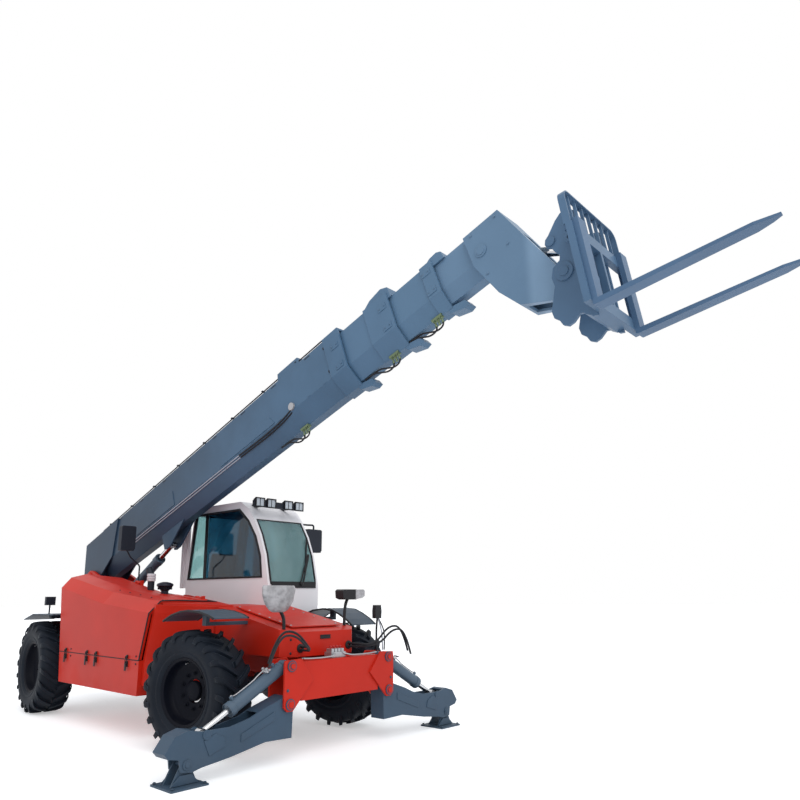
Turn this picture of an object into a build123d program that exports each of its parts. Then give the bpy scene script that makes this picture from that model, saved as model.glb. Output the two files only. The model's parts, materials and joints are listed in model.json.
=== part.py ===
"""Four-section telehandler with front stabilisers, pallet forks and a closed cab.

Millimetres, +X forward, +Y to the machine's left, +Z up, ground at z = 0.
Everything is laid out from the front axle (x = 0) and the centre plane (y = 0),
and moved at the end so that the origin is the middle of the machine's length.
"""
from build123d import *
from math import atan2, cos, degrees, hypot, radians, sin
import os

# ------------------------------------------------------------------ driving sizes
WHEELBASE = 3625
TYRE_R = 585                 # to the lugs' tips
TYRE_W = 406
WHEEL_Y = 1000               # middle of each tyre
RIM_R = 305                  # bead seat
KINGPIN_Y = 850
FRONT_STEER = 9.5            # degrees to the left, as parked
REAR_STEER = -4.8
STEER_LOCK = 32

REAR = -WHEELBASE            # x of the rear axle
BOOM_PIVOT = (REAR - 525, 1750)   # x, z
BOOM_ANGLE = 20.1            # above the ground, as parked
BOOM_LOW = -2.5              # lowest and highest boom angle
BOOM_HIGH = 67
BOOM_PIN_R = 45
WALL = 12                    # boom plate
BAND = 14                    # thickness of the bands round the boom's mouths
STROKE_OUT = 3100            # each inner section, from where it is parked
STROKE_IN = 90

FORK_ANGLE = 9.8             # blades above the ground, as parked
FORK_HEEL = (8449, -1122)    # the forks' inner corner, along and across the boom
FORK_LENGTH = 1240
FORK_W = 120
FORK_T = 45
FORK_Y = 385
TILT_BACK = 25               # degrees from where the forks are parked
TILT_DOWN = -75
CARRIAGE_Y = 470             # half width of the fork frame

FRAME_Y = 235                # inner face of the frame's side plates
FRAME_T = 40
NOSE_Y = 500                 # half width of the front body
HOOD_Y = 1120                # outer face of the engine side
CAB_RIGHT, CAB_LEFT = 305, 1110
CAB_WALL = 35
GLASS = 8
DOOR_GAP = 6
DOOR_OPEN = 95
HOOD_OPEN = 48

LEG_X = (846, 1030)          # stabiliser leg, back and front face
LEG_PLATE = 18
LEG_PIVOT = (-670, 515)      # y, z on the right side
RAM_TOP = (-660, 855)        # upper pin of the stabiliser's cylinder
RAM_EYE = (-1520, 375)       # its rod's eye
FOOT_PIN = (-1690, 170)
FOOT_X, FOOT_Y = 320, 336
LEG_UP = 44                  # degrees the leg swings up, till its cylinder is closed
FOOT_SWING = 12

FIT = 0.05                   # radial clearance of a pin in its bore
SEAT = 0.3                   # clearance of a piece from what carries or guides it

os.makedirs("parts", exist_ok=True)
NODES = {}


# ------------------------------------------------------------------ ways of making
def side_plane(origin=(0, 0), tilt=0):
    """Local x along the machine (tilted up), local y up, drawn in the XZ plane."""
    a = radians(tilt)
    return Plane(origin=(origin[0], 0, origin[1]), x_dir=(cos(a), 0, sin(a)), z_dir=(0, -1, 0))


def cross_plane(origin=(0, 0), tilt=0):
    """Local x to the machine's left, local y up; extrusions run forward."""
    a = radians(tilt)
    return Plane(origin=(origin[0], 0, origin[1]), x_dir=(0, 1, 0), z_dir=(cos(a), 0, sin(a)))


def extruded(outline, low, high, plane):
    """A flat outline, in the plane's own x and y, made solid from low to high."""
    face = make_face(Polyline(*[(u, v, low) for u, v in outline], close=True))
    return plane.location * extrude(face, amount=high - low, dir=(0, 0, 1))


def side(outline, y_low, y_high, plane=side_plane()):
    """A plate drawn from the side, between two y values."""
    return extruded(outline, -y_high, -y_low, plane)


def across(outline, x_low, x_high, plane=cross_plane()):
    """A bar drawn from the front, between two stations along it."""
    return extruded(outline, x_low, x_high, plane)


def plan(outline, z_low, z_high):
    """A piece drawn from above, between two heights."""
    return extruded(outline, z_low, z_high, Plane.XY)


def block(x, y, z):
    """A box between two corners, each axis as (low, high)."""
    low = (min(x), min(y), min(z))
    size = (abs(x[1] - x[0]), abs(y[1] - y[0]), abs(z[1] - z[0]))
    return Pos(*low) * Box(*size, align=(Align.MIN, Align.MIN, Align.MIN))


def rod(start, end, radius):
    """A round bar between two points."""
    start, end = Vector(*start), Vector(*end)
    return Solid.make_cylinder(radius, (end - start).length, Plane(start, z_dir=end - start))


def pin_y(centre, y_low, y_high, radius):
    """A round bar across the machine at a point (x, z)."""
    return rod((centre[0], y_low, centre[1]), (centre[0], y_high, centre[1]), radius)


def pin_x(centre, x_low, x_high, radius):
    """A round bar along the machine at a point (y, z)."""
    return rod((x_low, centre[0], centre[1]), (x_high, centre[0], centre[1]), radius)


def pipe(points, bend, radius):
    """A bent round tube through points, all its bends of one radius."""
    path = FilletPolyline(*points, radius=bend)
    section = Plane(path @ 0, z_dir=path % 0) * Circle(radius)
    return sweep(section, path=path)


def both(piece):
    """The piece and its mirror image on the machine's other side."""
    return piece + mirror(piece, about=Plane.XZ)


def shrink(outline, amount):
    """An outline with every edge moved inwards by an even amount, corners kept sharp."""
    pairs = list(zip(outline, outline[1:] + outline[:1]))
    turn = 1 if sum(a[0] * b[1] - b[0] * a[1] for a, b in pairs) > 0 else -1
    lines = []
    for (ax, ay), (bx, by) in pairs:
        length = hypot(bx - ax, by - ay)
        nx, ny = -turn * (by - ay) / length, turn * (bx - ax) / length
        lines.append((nx, ny, nx * ax + ny * ay + amount))
    corners = []
    for (a, b, c), (d, e, f) in zip(lines[-1:] + lines[:-1], lines):
        k = a * e - b * d
        corners.append(((c * e - b * f) / k, (a * f - c * d) / k))
    return corners


def place(point, origin, tilt):
    """A point of a tilted frame in x and z."""
    a = radians(tilt)
    return (origin[0] + point[0] * cos(a) - point[1] * sin(a),
            origin[1] + point[0] * sin(a) + point[1] * cos(a))


def keep(name, solid):
    NODES[name] = solid


# ------------------------------------------------------------------ boom sections
# name, half width, top, lower side edge, bottom, tail, mouth (along the boom)
BOTTOM_HALF = 55
SECTIONS = [
    ("boom_base", 205, 585, 110, -80, -60, 5820),
    ("boom_second", 178, 540, 125, -50, 1620, 6530),
    ("boom_third", 151, 495, 140, -20, 2330, 7120),
    ("boom_fourth", 124, 450, 155, 10, 2920, 7600),
]
# how far back each mouth's band reaches
BAND_LENGTH = {"boom_base": 250, "boom_second": 340, "boom_third": 150}
boom_side = side_plane(BOOM_PIVOT, BOOM_ANGLE)
boom_cross = cross_plane(BOOM_PIVOT, BOOM_ANGLE)


def section_outline(half, top, edge, bottom, grow=0):
    """Six-sided boom section: flat sides, and a floor bent into a blunt keel."""
    outline = [(-half, top), (-half, edge), (-BOTTOM_HALF, bottom),
               (BOTTOM_HALF, bottom), (half, edge), (half, top)]
    return shrink(outline, -grow) if grow else outline


def boom_point(s, n):
    return place((s, n), BOOM_PIVOT, BOOM_ANGLE)


def boom_pin(s, n, y_low, y_high, radius):
    return pin_y(boom_point(s, n), y_low, y_high, radius)


def section_tube(name, half, top, edge, bottom, tail, mouth):
    outer = section_outline(half, top, edge, bottom)
    tube = across(outer, tail, mouth, boom_cross)
    if name in BAND_LENGTH:
        band = section_outline(half, top, edge, bottom, BAND)
        tube += across(band, mouth - BAND_LENGTH[name], mouth, boom_cross)
    start = tail + (4 * BOOM_PIN_R if name == "boom_base" else -1)
    hollow = across(shrink(outer, WALL), start, mouth + 1, boom_cross)
    return tube - hollow


def wear_pads(outer, inner):
    """Slide pads in a section's mouth, and on the tail of the section inside it."""
    _, half, top, _, bottom, _, mouth = outer
    _, inner_half, inner_top, _, inner_bottom, tail, _ = inner
    along = (mouth - PAD_LENGTH, mouth - 15)
    mouth_pads = across([(-100, inner_top + SEAT), (100, inner_top + SEAT), (100, top - WALL + 1),
                         (-100, top - WALL + 1)], *along, boom_cross)
    mouth_pads += across([(-35, bottom + WALL - 1), (35, bottom + WALL - 1), (35, inner_bottom - SEAT),
                          (-35, inner_bottom - SEAT)], *along, boom_cross)
    for n in (210, 390):
        mouth_pads += both(across([(inner_half + SEAT, n), (half - WALL + 1, n), (half - WALL + 1, n + 60),
                                   (inner_half + SEAT, n + 60)], *along, boom_cross))
    tail_pad = across([(-100, inner_top - 1), (100, inner_top - 1), (100, top - WALL - SEAT),
                       (-100, top - WALL - SEAT)], tail, tail + PAD_LENGTH, boom_cross)
    return mouth_pads, tail_pad


PAD_LENGTH = 160
TUBES = {row[0]: section_tube(*row) for row in SECTIONS}
for outer_row, inner_row in zip(SECTIONS, SECTIONS[1:]):
    mouth_pads, tail_pad = wear_pads(outer_row, inner_row)
    TUBES[outer_row[0]] += mouth_pads
    TUBES[inner_row[0]] += tail_pad

# roller housings on the two inner mouths, from (along, across) outlines, and the room they leave
HOUSINGS = {
    "boom_second": ([(-345, 550), (-225, 612), (-55, 638), (30, 600), (42, 478), (0, 478)], "boom_third"),
    "boom_third": ([(-80, 505), (-10, 540), (80, 546), (130, 520), (142, 440), (0, 440)], "boom_fourth"),
}
GUIDE_Y = 60                 # half width of the hose guides hanging under the mouths
GUIDE = [(-70, -2), (20, -2), (145, -26), (172, -88), (118, -104), (-30, -58)]
ROWS = {row[0]: row for row in SECTIONS}
for name, (outline, inner) in HOUSINGS.items():
    half, mouth = ROWS[name][1], ROWS[name][6]
    room = section_outline(*ROWS[inner][1:5], 10)
    housing = side([(mouth + s, n) for s, n in outline], -half, half, boom_side)
    TUBES[name] += housing - across(room, mouth, mouth + 300, boom_cross) \
        - across(shrink(section_outline(*ROWS[name][1:5]), WALL), mouth - 500, mouth + 1, boom_cross)
for name in BAND_LENGTH:
    bottom, mouth = ROWS[name][4], ROWS[name][6]
    TUBES[name] += side([(mouth + s, bottom + n) for s, n in GUIDE], -GUIDE_Y, GUIDE_Y, boom_side)
# box for the hoses on the base section's right top edge
TUBES["boom_base"] += side([(4750, 584), (4768, 668), (5132, 668), (5150, 584)], -200, -105, boom_side)

# tail of the base section: cheek plates down to the pivot, and the pivot's tube
BOOM_HALF = SECTIONS[0][1]
CHEEK = 20
TAIL_BOSS_R = 105
cheek_outline = [(-122, 585), (-308, 60), (-90, -TAIL_BOSS_R + 10), (0, -TAIL_BOSS_R),
                 (90, -TAIL_BOSS_R + 10), (620, 110), (900, 585)]
base = TUBES["boom_base"]
base += both(side(cheek_outline, BOOM_HALF - 1, BOOM_HALF + CHEEK, boom_side))
base += side([(-122, 585), (-308, 60), (-90, -95), (90, -95), (230, 30), (230, 585)],
             -BOOM_HALF, BOOM_HALF, boom_side)
base += boom_pin(0, 0, -BOOM_HALF, BOOM_HALF, TAIL_BOSS_R)
base -= boom_pin(0, 0, -400, 400, BOOM_PIN_R + FIT)

# lift cylinder's lugs under the base section
LIFT_LUG = (1850, -222)      # along and across the boom
LUG_Y = (62, 84)
ls, ln = LIFT_LUG
lug_outline = [(ls - 90, -58), (ls - 72, ln - 40), (ls - 30, ln - 55), (ls + 75, ln - 50), (ls + 480, -58)]
base += both(side(lug_outline, *LUG_Y, boom_side))
keep("boom_base", base)
keep("boom_second", TUBES["boom_second"])
keep("boom_third", TUBES["boom_third"])

# head: a gooseneck box that drops from the last section to the carriage's pin
TILT_PIN = (8262, -586)
HEAD_HALF = 172
HEAD_PLATE = 18
HEAD_END_R = 130
head_outline = [(7520, 440), (7930, 440), (8185, -400), (8390, -560), (8380, -650), (8290, -716),
                (8140, -716), (7775, -524), (7650, -300), (7520, 100)]
# its side plates are flat as far as a crease, then draw in towards the carriage's pin
CREASE = ((8041, -94), (7729, -333))
HEAD_TIP = 112               # half width at the pin
crease_xz = [boom_point(*point) for point in CREASE]
crease_run = Vector(crease_xz[1][0] - crease_xz[0][0], 0, crease_xz[1][1] - crease_xz[0][1]).normalized()
crease_plane = Plane(origin=(crease_xz[0][0], 0, crease_xz[0][1]),
                     x_dir=(-crease_run.Z, 0, crease_run.X), z_dir=tuple(crease_run))


def drawn_in(half, tip):
    """Room between the head's side plates, full width before the crease and narrowed to its pin."""
    outline = [(-1500, -half), (0, -half), (525, -tip), (900, -tip), (900, tip), (525, tip), (0, half), (-1500, half)]
    return extruded(outline, -2000, 2000, crease_plane)


head = side(head_outline, -HEAD_HALF, HEAD_HALF, boom_side) & drawn_in(HEAD_HALF, HEAD_TIP)
head_inner = [(7560, 418), (7914, 418), (8160, -395), (8150, -690), (7790, -504), (7670, -290), (7560, 80)]
head -= side(head_inner, -HEAD_HALF + HEAD_PLATE, HEAD_HALF - HEAD_PLATE, boom_side) \
    & drawn_in(HEAD_HALF - HEAD_PLATE, HEAD_TIP - HEAD_PLATE)
# slot in the front plate for the tilt cylinder, window in the lower plate
SLOT_HALF = 75
head -= side([(7900, 120), (8400, 120), (8400, -430), (7900, -430)], -SLOT_HALF, SLOT_HALF, boom_side)
head -= side([(7760, -590), (7860, -480), (8080, -620), (8040, -720)], -80, 80, boom_side)
head += boom_pin(*TILT_PIN, -HEAD_TIP, HEAD_TIP, HEAD_END_R)
head += boom_pin(*TILT_PIN, -205, 205, HEAD_END_R - 40)
head += TUBES["boom_fourth"]
TILT_PIN_R = 40
head -= boom_pin(*TILT_PIN, -300, 300, TILT_PIN_R + FIT)

# tilt cylinder: the barrel lies in the head, its rod reaches the carriage's upper ears
TILT_BASE = (7640, 190)
TILT_EYE = (8261, -266)
TILT_LENGTH = hypot(TILT_EYE[0] - TILT_BASE[0], TILT_EYE[1] - TILT_BASE[1])
TILT_DIR = ((TILT_EYE[0] - TILT_BASE[0]) / TILT_LENGTH, (TILT_EYE[1] - TILT_BASE[1]) / TILT_LENGTH)


def tilt_point(along):
    x, z = boom_point(TILT_BASE[0] + along * TILT_DIR[0], TILT_BASE[1] + along * TILT_DIR[1])
    return (x, 0, z)


TILT_ROD_R = 25
TILT_BARREL = 590
barrel = rod(tilt_point(0), tilt_point(TILT_BARREL), 52)
barrel += boom_pin(*TILT_BASE, -HEAD_HALF + HEAD_PLATE + SEAT, HEAD_HALF - HEAD_PLATE - SEAT, 30)
barrel -= rod(tilt_point(60), tilt_point(TILT_BARREL + 10), TILT_ROD_R + FIT)
keep("tilt_barrel", barrel)
tilt_rod = rod(tilt_point(190), tilt_point(TILT_LENGTH - 30), TILT_ROD_R)
tilt_rod += boom_pin(*TILT_EYE, -35, 35, 45)
tilt_rod -= boom_pin(*TILT_EYE, -100, 100, 25)
keep("tilt_rod", tilt_rod)
keep("boom_fourth", head)


# ------------------------------------------------------------------ fork carriage
HEEL_XZ = boom_point(*FORK_HEEL)
fork_side = side_plane(HEEL_XZ, FORK_ANGLE)
fork_cross = cross_plane(HEEL_XZ, FORK_ANGLE)
TILT_XZ = boom_point(*TILT_PIN)
EYE_XZ = boom_point(*TILT_EYE)


def fork_frame_point(x, z):
    """A point of the machine in the carriage's own frame: along the blades, up the shanks."""
    a = radians(FORK_ANGLE)
    dx, dz = x - HEEL_XZ[0], z - HEEL_XZ[1]
    return dx * cos(a) + dz * sin(a), -dx * sin(a) + dz * cos(a)


PIVOT_UV = fork_frame_point(*TILT_XZ)
EYE_UV = fork_frame_point(*EYE_XZ)
EAR_Y = (218, 246)
FRAME_U = (-100, -FORK_T - SEAT)     # the fork frame's bars, behind the shanks
RAIL_V = (40, 150, 640, 740)      # lower and upper rail, bottom and top of each
GRILLE_TOP = 1050
ev, eu = EYE_UV[1], EYE_UV[0]
pv, pu = PIVOT_UV[1], PIVOT_UV[0]
ear_outline = [(-100, 978), (-205, 1010), (-262, 968), (eu - 12, ev + 62), (eu - 44, ev + 38), (eu - 56, ev),
               (eu - 44, ev - 38), (eu - 8, ev - 56), (-322, 700), (-288, 655), (-300, 612), (pu - 92, pv + 78),
               (pu - 120, pv), (pu - 108, pv - 80), (-430, 300), (-462, 215), (-452, 150), (-412, 112),
               (-392, 62), (-350, 36), (-300, 48), (-240, 92), (-180, 76), (-140, 22), (-100, 12)]
carriage = both(side(ear_outline, *EAR_Y, fork_side))
for low, high in (RAIL_V[:2], RAIL_V[2:]):
    carriage += side([(FRAME_U[0], low), (FRAME_U[1], low), (FRAME_U[1], high), (FRAME_U[0], high)],
                     -CARRIAGE_Y, CARRIAGE_Y, fork_side)
UPRIGHT = 36
for y in (-CARRIAGE_Y + UPRIGHT / 2, 0, CARRIAGE_Y - UPRIGHT / 2):
    carriage += side([(FRAME_U[0], RAIL_V[0]), (FRAME_U[1], RAIL_V[0]), (FRAME_U[1], RAIL_V[3]),
                      (FRAME_U[0], RAIL_V[3])], y - UPRIGHT / 2, y + UPRIGHT / 2, fork_side)
# load guard above the upper rail: a wide flat bar bent into an arch, with thin bars inside it
GUARD_U = (-112, -52)
GUARD_T = 12
GUARD_BAR = 14
GUARD_BARS = 7
ROUND = 85                   # of the arch's upper corners
arch = [(-CARRIAGE_Y, RAIL_V[3] - 5), (CARRIAGE_Y, RAIL_V[3] - 5), (CARRIAGE_Y, GRILLE_TOP - ROUND)]
arch += [(CARRIAGE_Y - ROUND * (1 - cos(radians(turn))), GRILLE_TOP - ROUND * (1 - sin(radians(turn))))
         for turn in (22.5, 45, 67.5)]
arch += [(CARRIAGE_Y - ROUND, GRILLE_TOP)]
arch += [(-y, v) for y, v in arch[:1:-1]]
arch_foot = [(GUARD_T - CARRIAGE_Y, RAIL_V[3] - 5), (CARRIAGE_Y - GUARD_T, RAIL_V[3] - 5),
             (CARRIAGE_Y - GUARD_T, RAIL_V[3] + 2 * GUARD_T), (GUARD_T - CARRIAGE_Y, RAIL_V[3] + 2 * GUARD_T)]
carriage += across(arch, *GUARD_U, fork_cross) - across(shrink(arch, GUARD_T), *GUARD_U, fork_cross) \
    - across(arch_foot, *GUARD_U, fork_cross)
# the thin bars stand on a crossbar over the forks' hooks, those between the forks on the rail
CROSSBAR_V = (RAIL_V[3] + 36, RAIL_V[3] + 48)
BAR_U = (-95, -69)
crossbar = [(BAR_U[0], CROSSBAR_V[0]), (BAR_U[1], CROSSBAR_V[0]), (BAR_U[1], CROSSBAR_V[1]),
            (BAR_U[0], CROSSBAR_V[1])]
carriage += side(crossbar, 2 - CARRIAGE_Y, CARRIAGE_Y - 2, fork_side)
guard_pitch = 2 * CARRIAGE_Y / (GUARD_BARS + 1)
for i in range(GUARD_BARS):
    y = (i + 1) * guard_pitch - CARRIAGE_Y
    low = RAIL_V[3] - 5 if abs(y) < FORK_Y - FORK_W else CROSSBAR_V[0] + 2
    carriage += side([(BAR_U[0], low), (BAR_U[1], low), (BAR_U[1], GRILLE_TOP - 2), (BAR_U[0], GRILLE_TOP - 2)],
                     y - GUARD_BAR / 2, y + GUARD_BAR / 2, fork_side)
# cross tube low between the ears, clear under the head, and the tilt pin's outer ends
carriage += side([(-200, 70), (-160, 40), (-99, 40), (-99, 120), (-200, 110)], -EAR_Y[1], EAR_Y[1], fork_side)
BOSS_XZ = place((-160, 748), HEEL_XZ, FORK_ANGLE)
carriage += pin_y(TILT_XZ, -EAR_Y[1] - 22, EAR_Y[1] + 22, TILT_PIN_R)
for s in (-1, 1):
    carriage += pin_y(TILT_XZ, s * EAR_Y[1], s * (EAR_Y[1] + 14), 78)
    carriage += pin_y(EYE_XZ, s * EAR_Y[1], s * (EAR_Y[1] + 14), 40)
    carriage += pin_y(BOSS_XZ, s * EAR_Y[1], s * (EAR_Y[1] + 34), 46)
carriage -= pin_y(BOSS_XZ, -400, 400, 24)
keep("carriage", carriage)

HOOK = 24
fork_outline = [(0, FORK_T), (0, RAIL_V[3] + HOOK), (FRAME_U[0] - HOOK, RAIL_V[3] + HOOK),
                (FRAME_U[0] - HOOK, RAIL_V[3] - 40), (FRAME_U[0] - SEAT, RAIL_V[3] - 40),
                (FRAME_U[0] - SEAT, RAIL_V[3] + SEAT), (-FORK_T, RAIL_V[3] + SEAT),
                (-FORK_T, 10), (-35, 0), (FORK_LENGTH - 60, 25), (FORK_LENGTH, 34), (FORK_LENGTH, FORK_T)]
tip = plan([(-300, -FORK_W / 2), (FORK_LENGTH - 160, -FORK_W / 2), (FORK_LENGTH - 30, -26),
            (FORK_LENGTH, -18), (FORK_LENGTH, 18), (FORK_LENGTH - 30, 26),
            (FORK_LENGTH - 160, FORK_W / 2), (-300, FORK_W / 2)], -2000, 2000)
fork = side(fork_outline, -FORK_W / 2, FORK_W / 2) & tip
fork = fork_side.location * side_plane().location.inverse() * fork
keep("forks", Compound(children=[Pos(0, -FORK_Y, 0) * fork, Pos(0, FORK_Y, 0) * fork]))


# ------------------------------------------------------------------ wheels and axles
def revolved(profile):
    """A ring about the local Y axis, from (radius, y) points."""
    face = make_face(Polyline(*[(r, y, 0) for r, y in profile], close=True))
    return revolve(face, axis=Axis.Y)


HALF_W = TYRE_W / 2
LUGS = 16                    # on each shoulder
LUG_W, LUG_SLANT = 62, 20
LUG_TOP = (TYRE_R ** 2 - (LUG_W / 2) ** 2) ** 0.5
TREAD_R = TYRE_R - 30
half_tyre = [(RIM_R + SEAT, 156.5), (RIM_R + 23, 159), (RIM_R + 32, 178), (440, HALF_W), (520, HALF_W - 8),
             (TREAD_R, HALF_W - 34)]
tyre = revolved([(r, -y) for r, y in half_tyre] + half_tyre[::-1])
lug = Rot(0, 0, LUG_SLANT) * Pos(0, 0, LUG_TOP - 50) * Box(LUG_W, 160, 100)
for i in range(LUGS):
    turn = 360 * i / LUGS
    tyre += Rot(0, turn, 0) * Pos(0, HALF_W - 96, 0) * lug
    tyre += Rot(0, turn + 180 / LUGS, 0) * Pos(0, 96 - HALF_W, 0) * mirror(lug, about=Plane.XZ)
SPINDLE_R = 48
# dished steel rim: flanges, bead seats, well, disc and hub; +y is the outer side
rim = revolved([(RIM_R - 18, -172), (RIM_R + 22, -172), (RIM_R + 22, -160), (RIM_R, -157), (RIM_R, 157),
                (RIM_R + 22, 160), (RIM_R + 22, 172), (RIM_R - 18, 172), (RIM_R - 18, 62), (210, 40),
                (130, 40), (120, 82), (70, 82), (70, 60), (SPINDLE_R + FIT, 60), (SPINDLE_R + FIT, -8),
                (110, -8), (210, 16), (RIM_R - 18, 34)])
NUTS = 10
for i in range(NUTS):
    rim += Rot(0, 360 * i / NUTS, 0) * rod((165, 38, 0), (165, 58, 0), 14)

KNUCKLE_H = 87               # half height of the knuckle, between the yoke's ears
EAR_T = 36
KINGPIN_R = 30
OFFSET = WHEEL_Y - KINGPIN_Y
knuckle = rod((0, 0, -KNUCKLE_H), (0, 0, KNUCKLE_H), 62)
knuckle += rod((0, 0, -KNUCKLE_H - EAR_T - 8), (0, 0, KNUCKLE_H + EAR_T + 8), KINGPIN_R)
knuckle += rod((0, 0, 0), (0, OFFSET - 10, 0), 80) & block((-90, 90), (0, 300), (-KNUCKLE_H, KNUCKLE_H))
knuckle += rod((0, OFFSET - 10, 0), (0, OFFSET + 58, 0), SPINDLE_R)
knuckle += block((-170, -50), (-28, 28), (-20, 20))

DIFF_R = 190


def axle_beam():
    beam = rod((0, -KINGPIN_Y + 105, 0), (0, KINGPIN_Y - 105, 0), 68)
    beam += rod((0, -240, 0), (0, 240, 0), 110)
    beam += Sphere(DIFF_R)
    yoke = block((-62, 62), (KINGPIN_Y - 130, KINGPIN_Y - 82), (-KNUCKLE_H - EAR_T, KNUCKLE_H + EAR_T))
    for s in (-1, 1):
        low, high = sorted((s * (KNUCKLE_H + 3), s * (KNUCKLE_H + EAR_T)))
        ear = rod((0, KINGPIN_Y, low), (0, KINGPIN_Y, high), 62)
        ear += block((-62, 62), (KINGPIN_Y - 130, KINGPIN_Y), (low, high))
        yoke += ear
    yoke -= rod((0, KINGPIN_Y, -400), (0, KINGPIN_Y, 400), KINGPIN_R + FIT)
    return beam + both(yoke)


AXLE_X = {"front": 0, "rear": REAR}
STEER = {"front": FRONT_STEER, "rear": REAR_STEER}
beam = axle_beam()
for end, x in AXLE_X.items():
    keep(f"{end}_axle", Pos(x, 0, TYRE_R) * beam)
    for hand, s in (("right", -1), ("left", 1)):
        turn = 180 if s < 0 else 0
        at = Pos(x, s * KINGPIN_Y, TYRE_R) * Rot(0, 0, STEER[end] + turn)
        wheel_at = at * Pos(0, OFFSET, 0)
        hub = knuckle if (s > 0) == (end == "front") else mirror(knuckle, about=Plane.YZ)
        keep(f"knuckle_{end}_{hand}", at * hub)
        keep(f"rim_{end}_{hand}", wheel_at * rim)
        keep(f"tyre_{end}_{hand}", wheel_at * tyre)

# ------------------------------------------------------------------ main frame
PLATE_Y = (FRAME_Y, FRAME_Y + FRAME_T)
EAR_R = 120
LIFT_BASE = (REAR - 175, 1330)    # lower pin of the lift cylinder
AXLE_TOP = TYRE_R + 118
px, pz = BOOM_PIVOT
frame_outline = [(700, 640), (700, 1090), (-450, 1330), (-1700, 1330), (-2500, 1180), (REAR + 425, 1300),
                 (px + 330, pz + 20), (px + 90, pz + 105), (px, pz + EAR_R), (px - 90, pz + 80),
                 (px - EAR_R, pz), (px - 190, 1300), (px - 190, 620), (REAR - 275, 620), (REAR - 155, AXLE_TOP),
                 (REAR + 155, AXLE_TOP), (REAR + 375, 560), (-420, 560), (-200, AXLE_TOP), (200, AXLE_TOP), (360, 640)]
frame = both(side(frame_outline, *PLATE_Y))
for x0, x1, z0, z1 in ((-520, -440, 600, 1200), (-1700, -1620, 600, 1250), (REAR + 465, REAR + 545, 600, 1200),
                       (px - 190, px - 140, 640, 1300), (560, 700, 660, 1060)):
    frame += block((x0, x1), (-FRAME_Y - 1, FRAME_Y + 1), (z0, z1))
frame += block((REAR + 545, -520), (-FRAME_Y - 1, FRAME_Y + 1), (560, 585))
for x in AXLE_X.values():
    for sx in (-1, 1):
        frame += block((x + sx * 150 - 45, x + sx * 150 + 45), (-FRAME_Y - 1, FRAME_Y + 1),
                       (AXLE_TOP + 75, AXLE_TOP + 130))
    # saddle on the axle's housing
    frame += block((x - 60, x + 60), (-FRAME_Y - 1, -120), (TYRE_R + 92, AXLE_TOP + 130))
    frame += block((x - 60, x + 60), (120, FRAME_Y + 1), (TYRE_R + 92, AXLE_TOP + 130))
    frame -= Pos(x, 0, TYRE_R) * rod((0, -400, 0), (0, 400, 0), 110.3)
    frame -= Pos(x, 0, TYRE_R) * Sphere(DIFF_R + 5)
frame += pin_y(BOOM_PIVOT, -PLATE_Y[1] - 16, PLATE_Y[1] + 16, BOOM_PIN_R)
LIFT_PIN_R = 34
LIFT_EYE_Y = 58
frame += pin_y(LIFT_BASE, -FRAME_Y - 1, FRAME_Y + 1, LIFT_PIN_R)
for s in (-1, 1):
    frame += pin_y(LIFT_BASE, s * (LIFT_EYE_Y + 4), s * (FRAME_Y + 1), 62)
keep("chassis_frame", frame)

# ------------------------------------------------------------------ lift cylinder
LUG_XZ = boom_point(*LIFT_LUG)
LIFT_LENGTH = hypot(LUG_XZ[0] - LIFT_BASE[0], LUG_XZ[1] - LIFT_BASE[1])
LIFT_ANGLE = degrees(atan2(LUG_XZ[1] - LIFT_BASE[1], LUG_XZ[0] - LIFT_BASE[0]))
LIFT_BARREL_R, LIFT_ROD_R = 66, 36
LIFT_BARREL = 1330


def lift_point(along):
    x, z = place((along, 0), LIFT_BASE, LIFT_ANGLE)
    return (x, 0, z)


lift_barrel = rod(lift_point(0), lift_point(LIFT_BARREL), LIFT_BARREL_R)
lift_barrel += rod(lift_point(LIFT_BARREL - 70), lift_point(LIFT_BARREL), LIFT_BARREL_R + 8)
lift_barrel = lift_barrel & block((-9000, 9000), (-LIFT_EYE_Y, LIFT_EYE_Y), (0, 4000)) \
    + (lift_barrel - rod(lift_point(-90), lift_point(110), 200))
lift_barrel += pin_y(LIFT_BASE, -LIFT_EYE_Y, LIFT_EYE_Y, 72)
lift_barrel -= rod(lift_point(120), lift_point(LIFT_BARREL + 10), LIFT_ROD_R + FIT)
lift_barrel -= pin_y(LIFT_BASE, -200, 200, LIFT_PIN_R + FIT)
keep("lift_barrel", lift_barrel)
lift_rod = rod(lift_point(420), lift_point(LIFT_LENGTH - 30), LIFT_ROD_R)
lift_rod += pin_y(LUG_XZ, -40, 40, 42)
lift_rod += pin_y(LUG_XZ, -LUG_Y[0] + 5, LUG_Y[0] - 5, 28)
keep("lift_rod", lift_rod)

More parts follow.
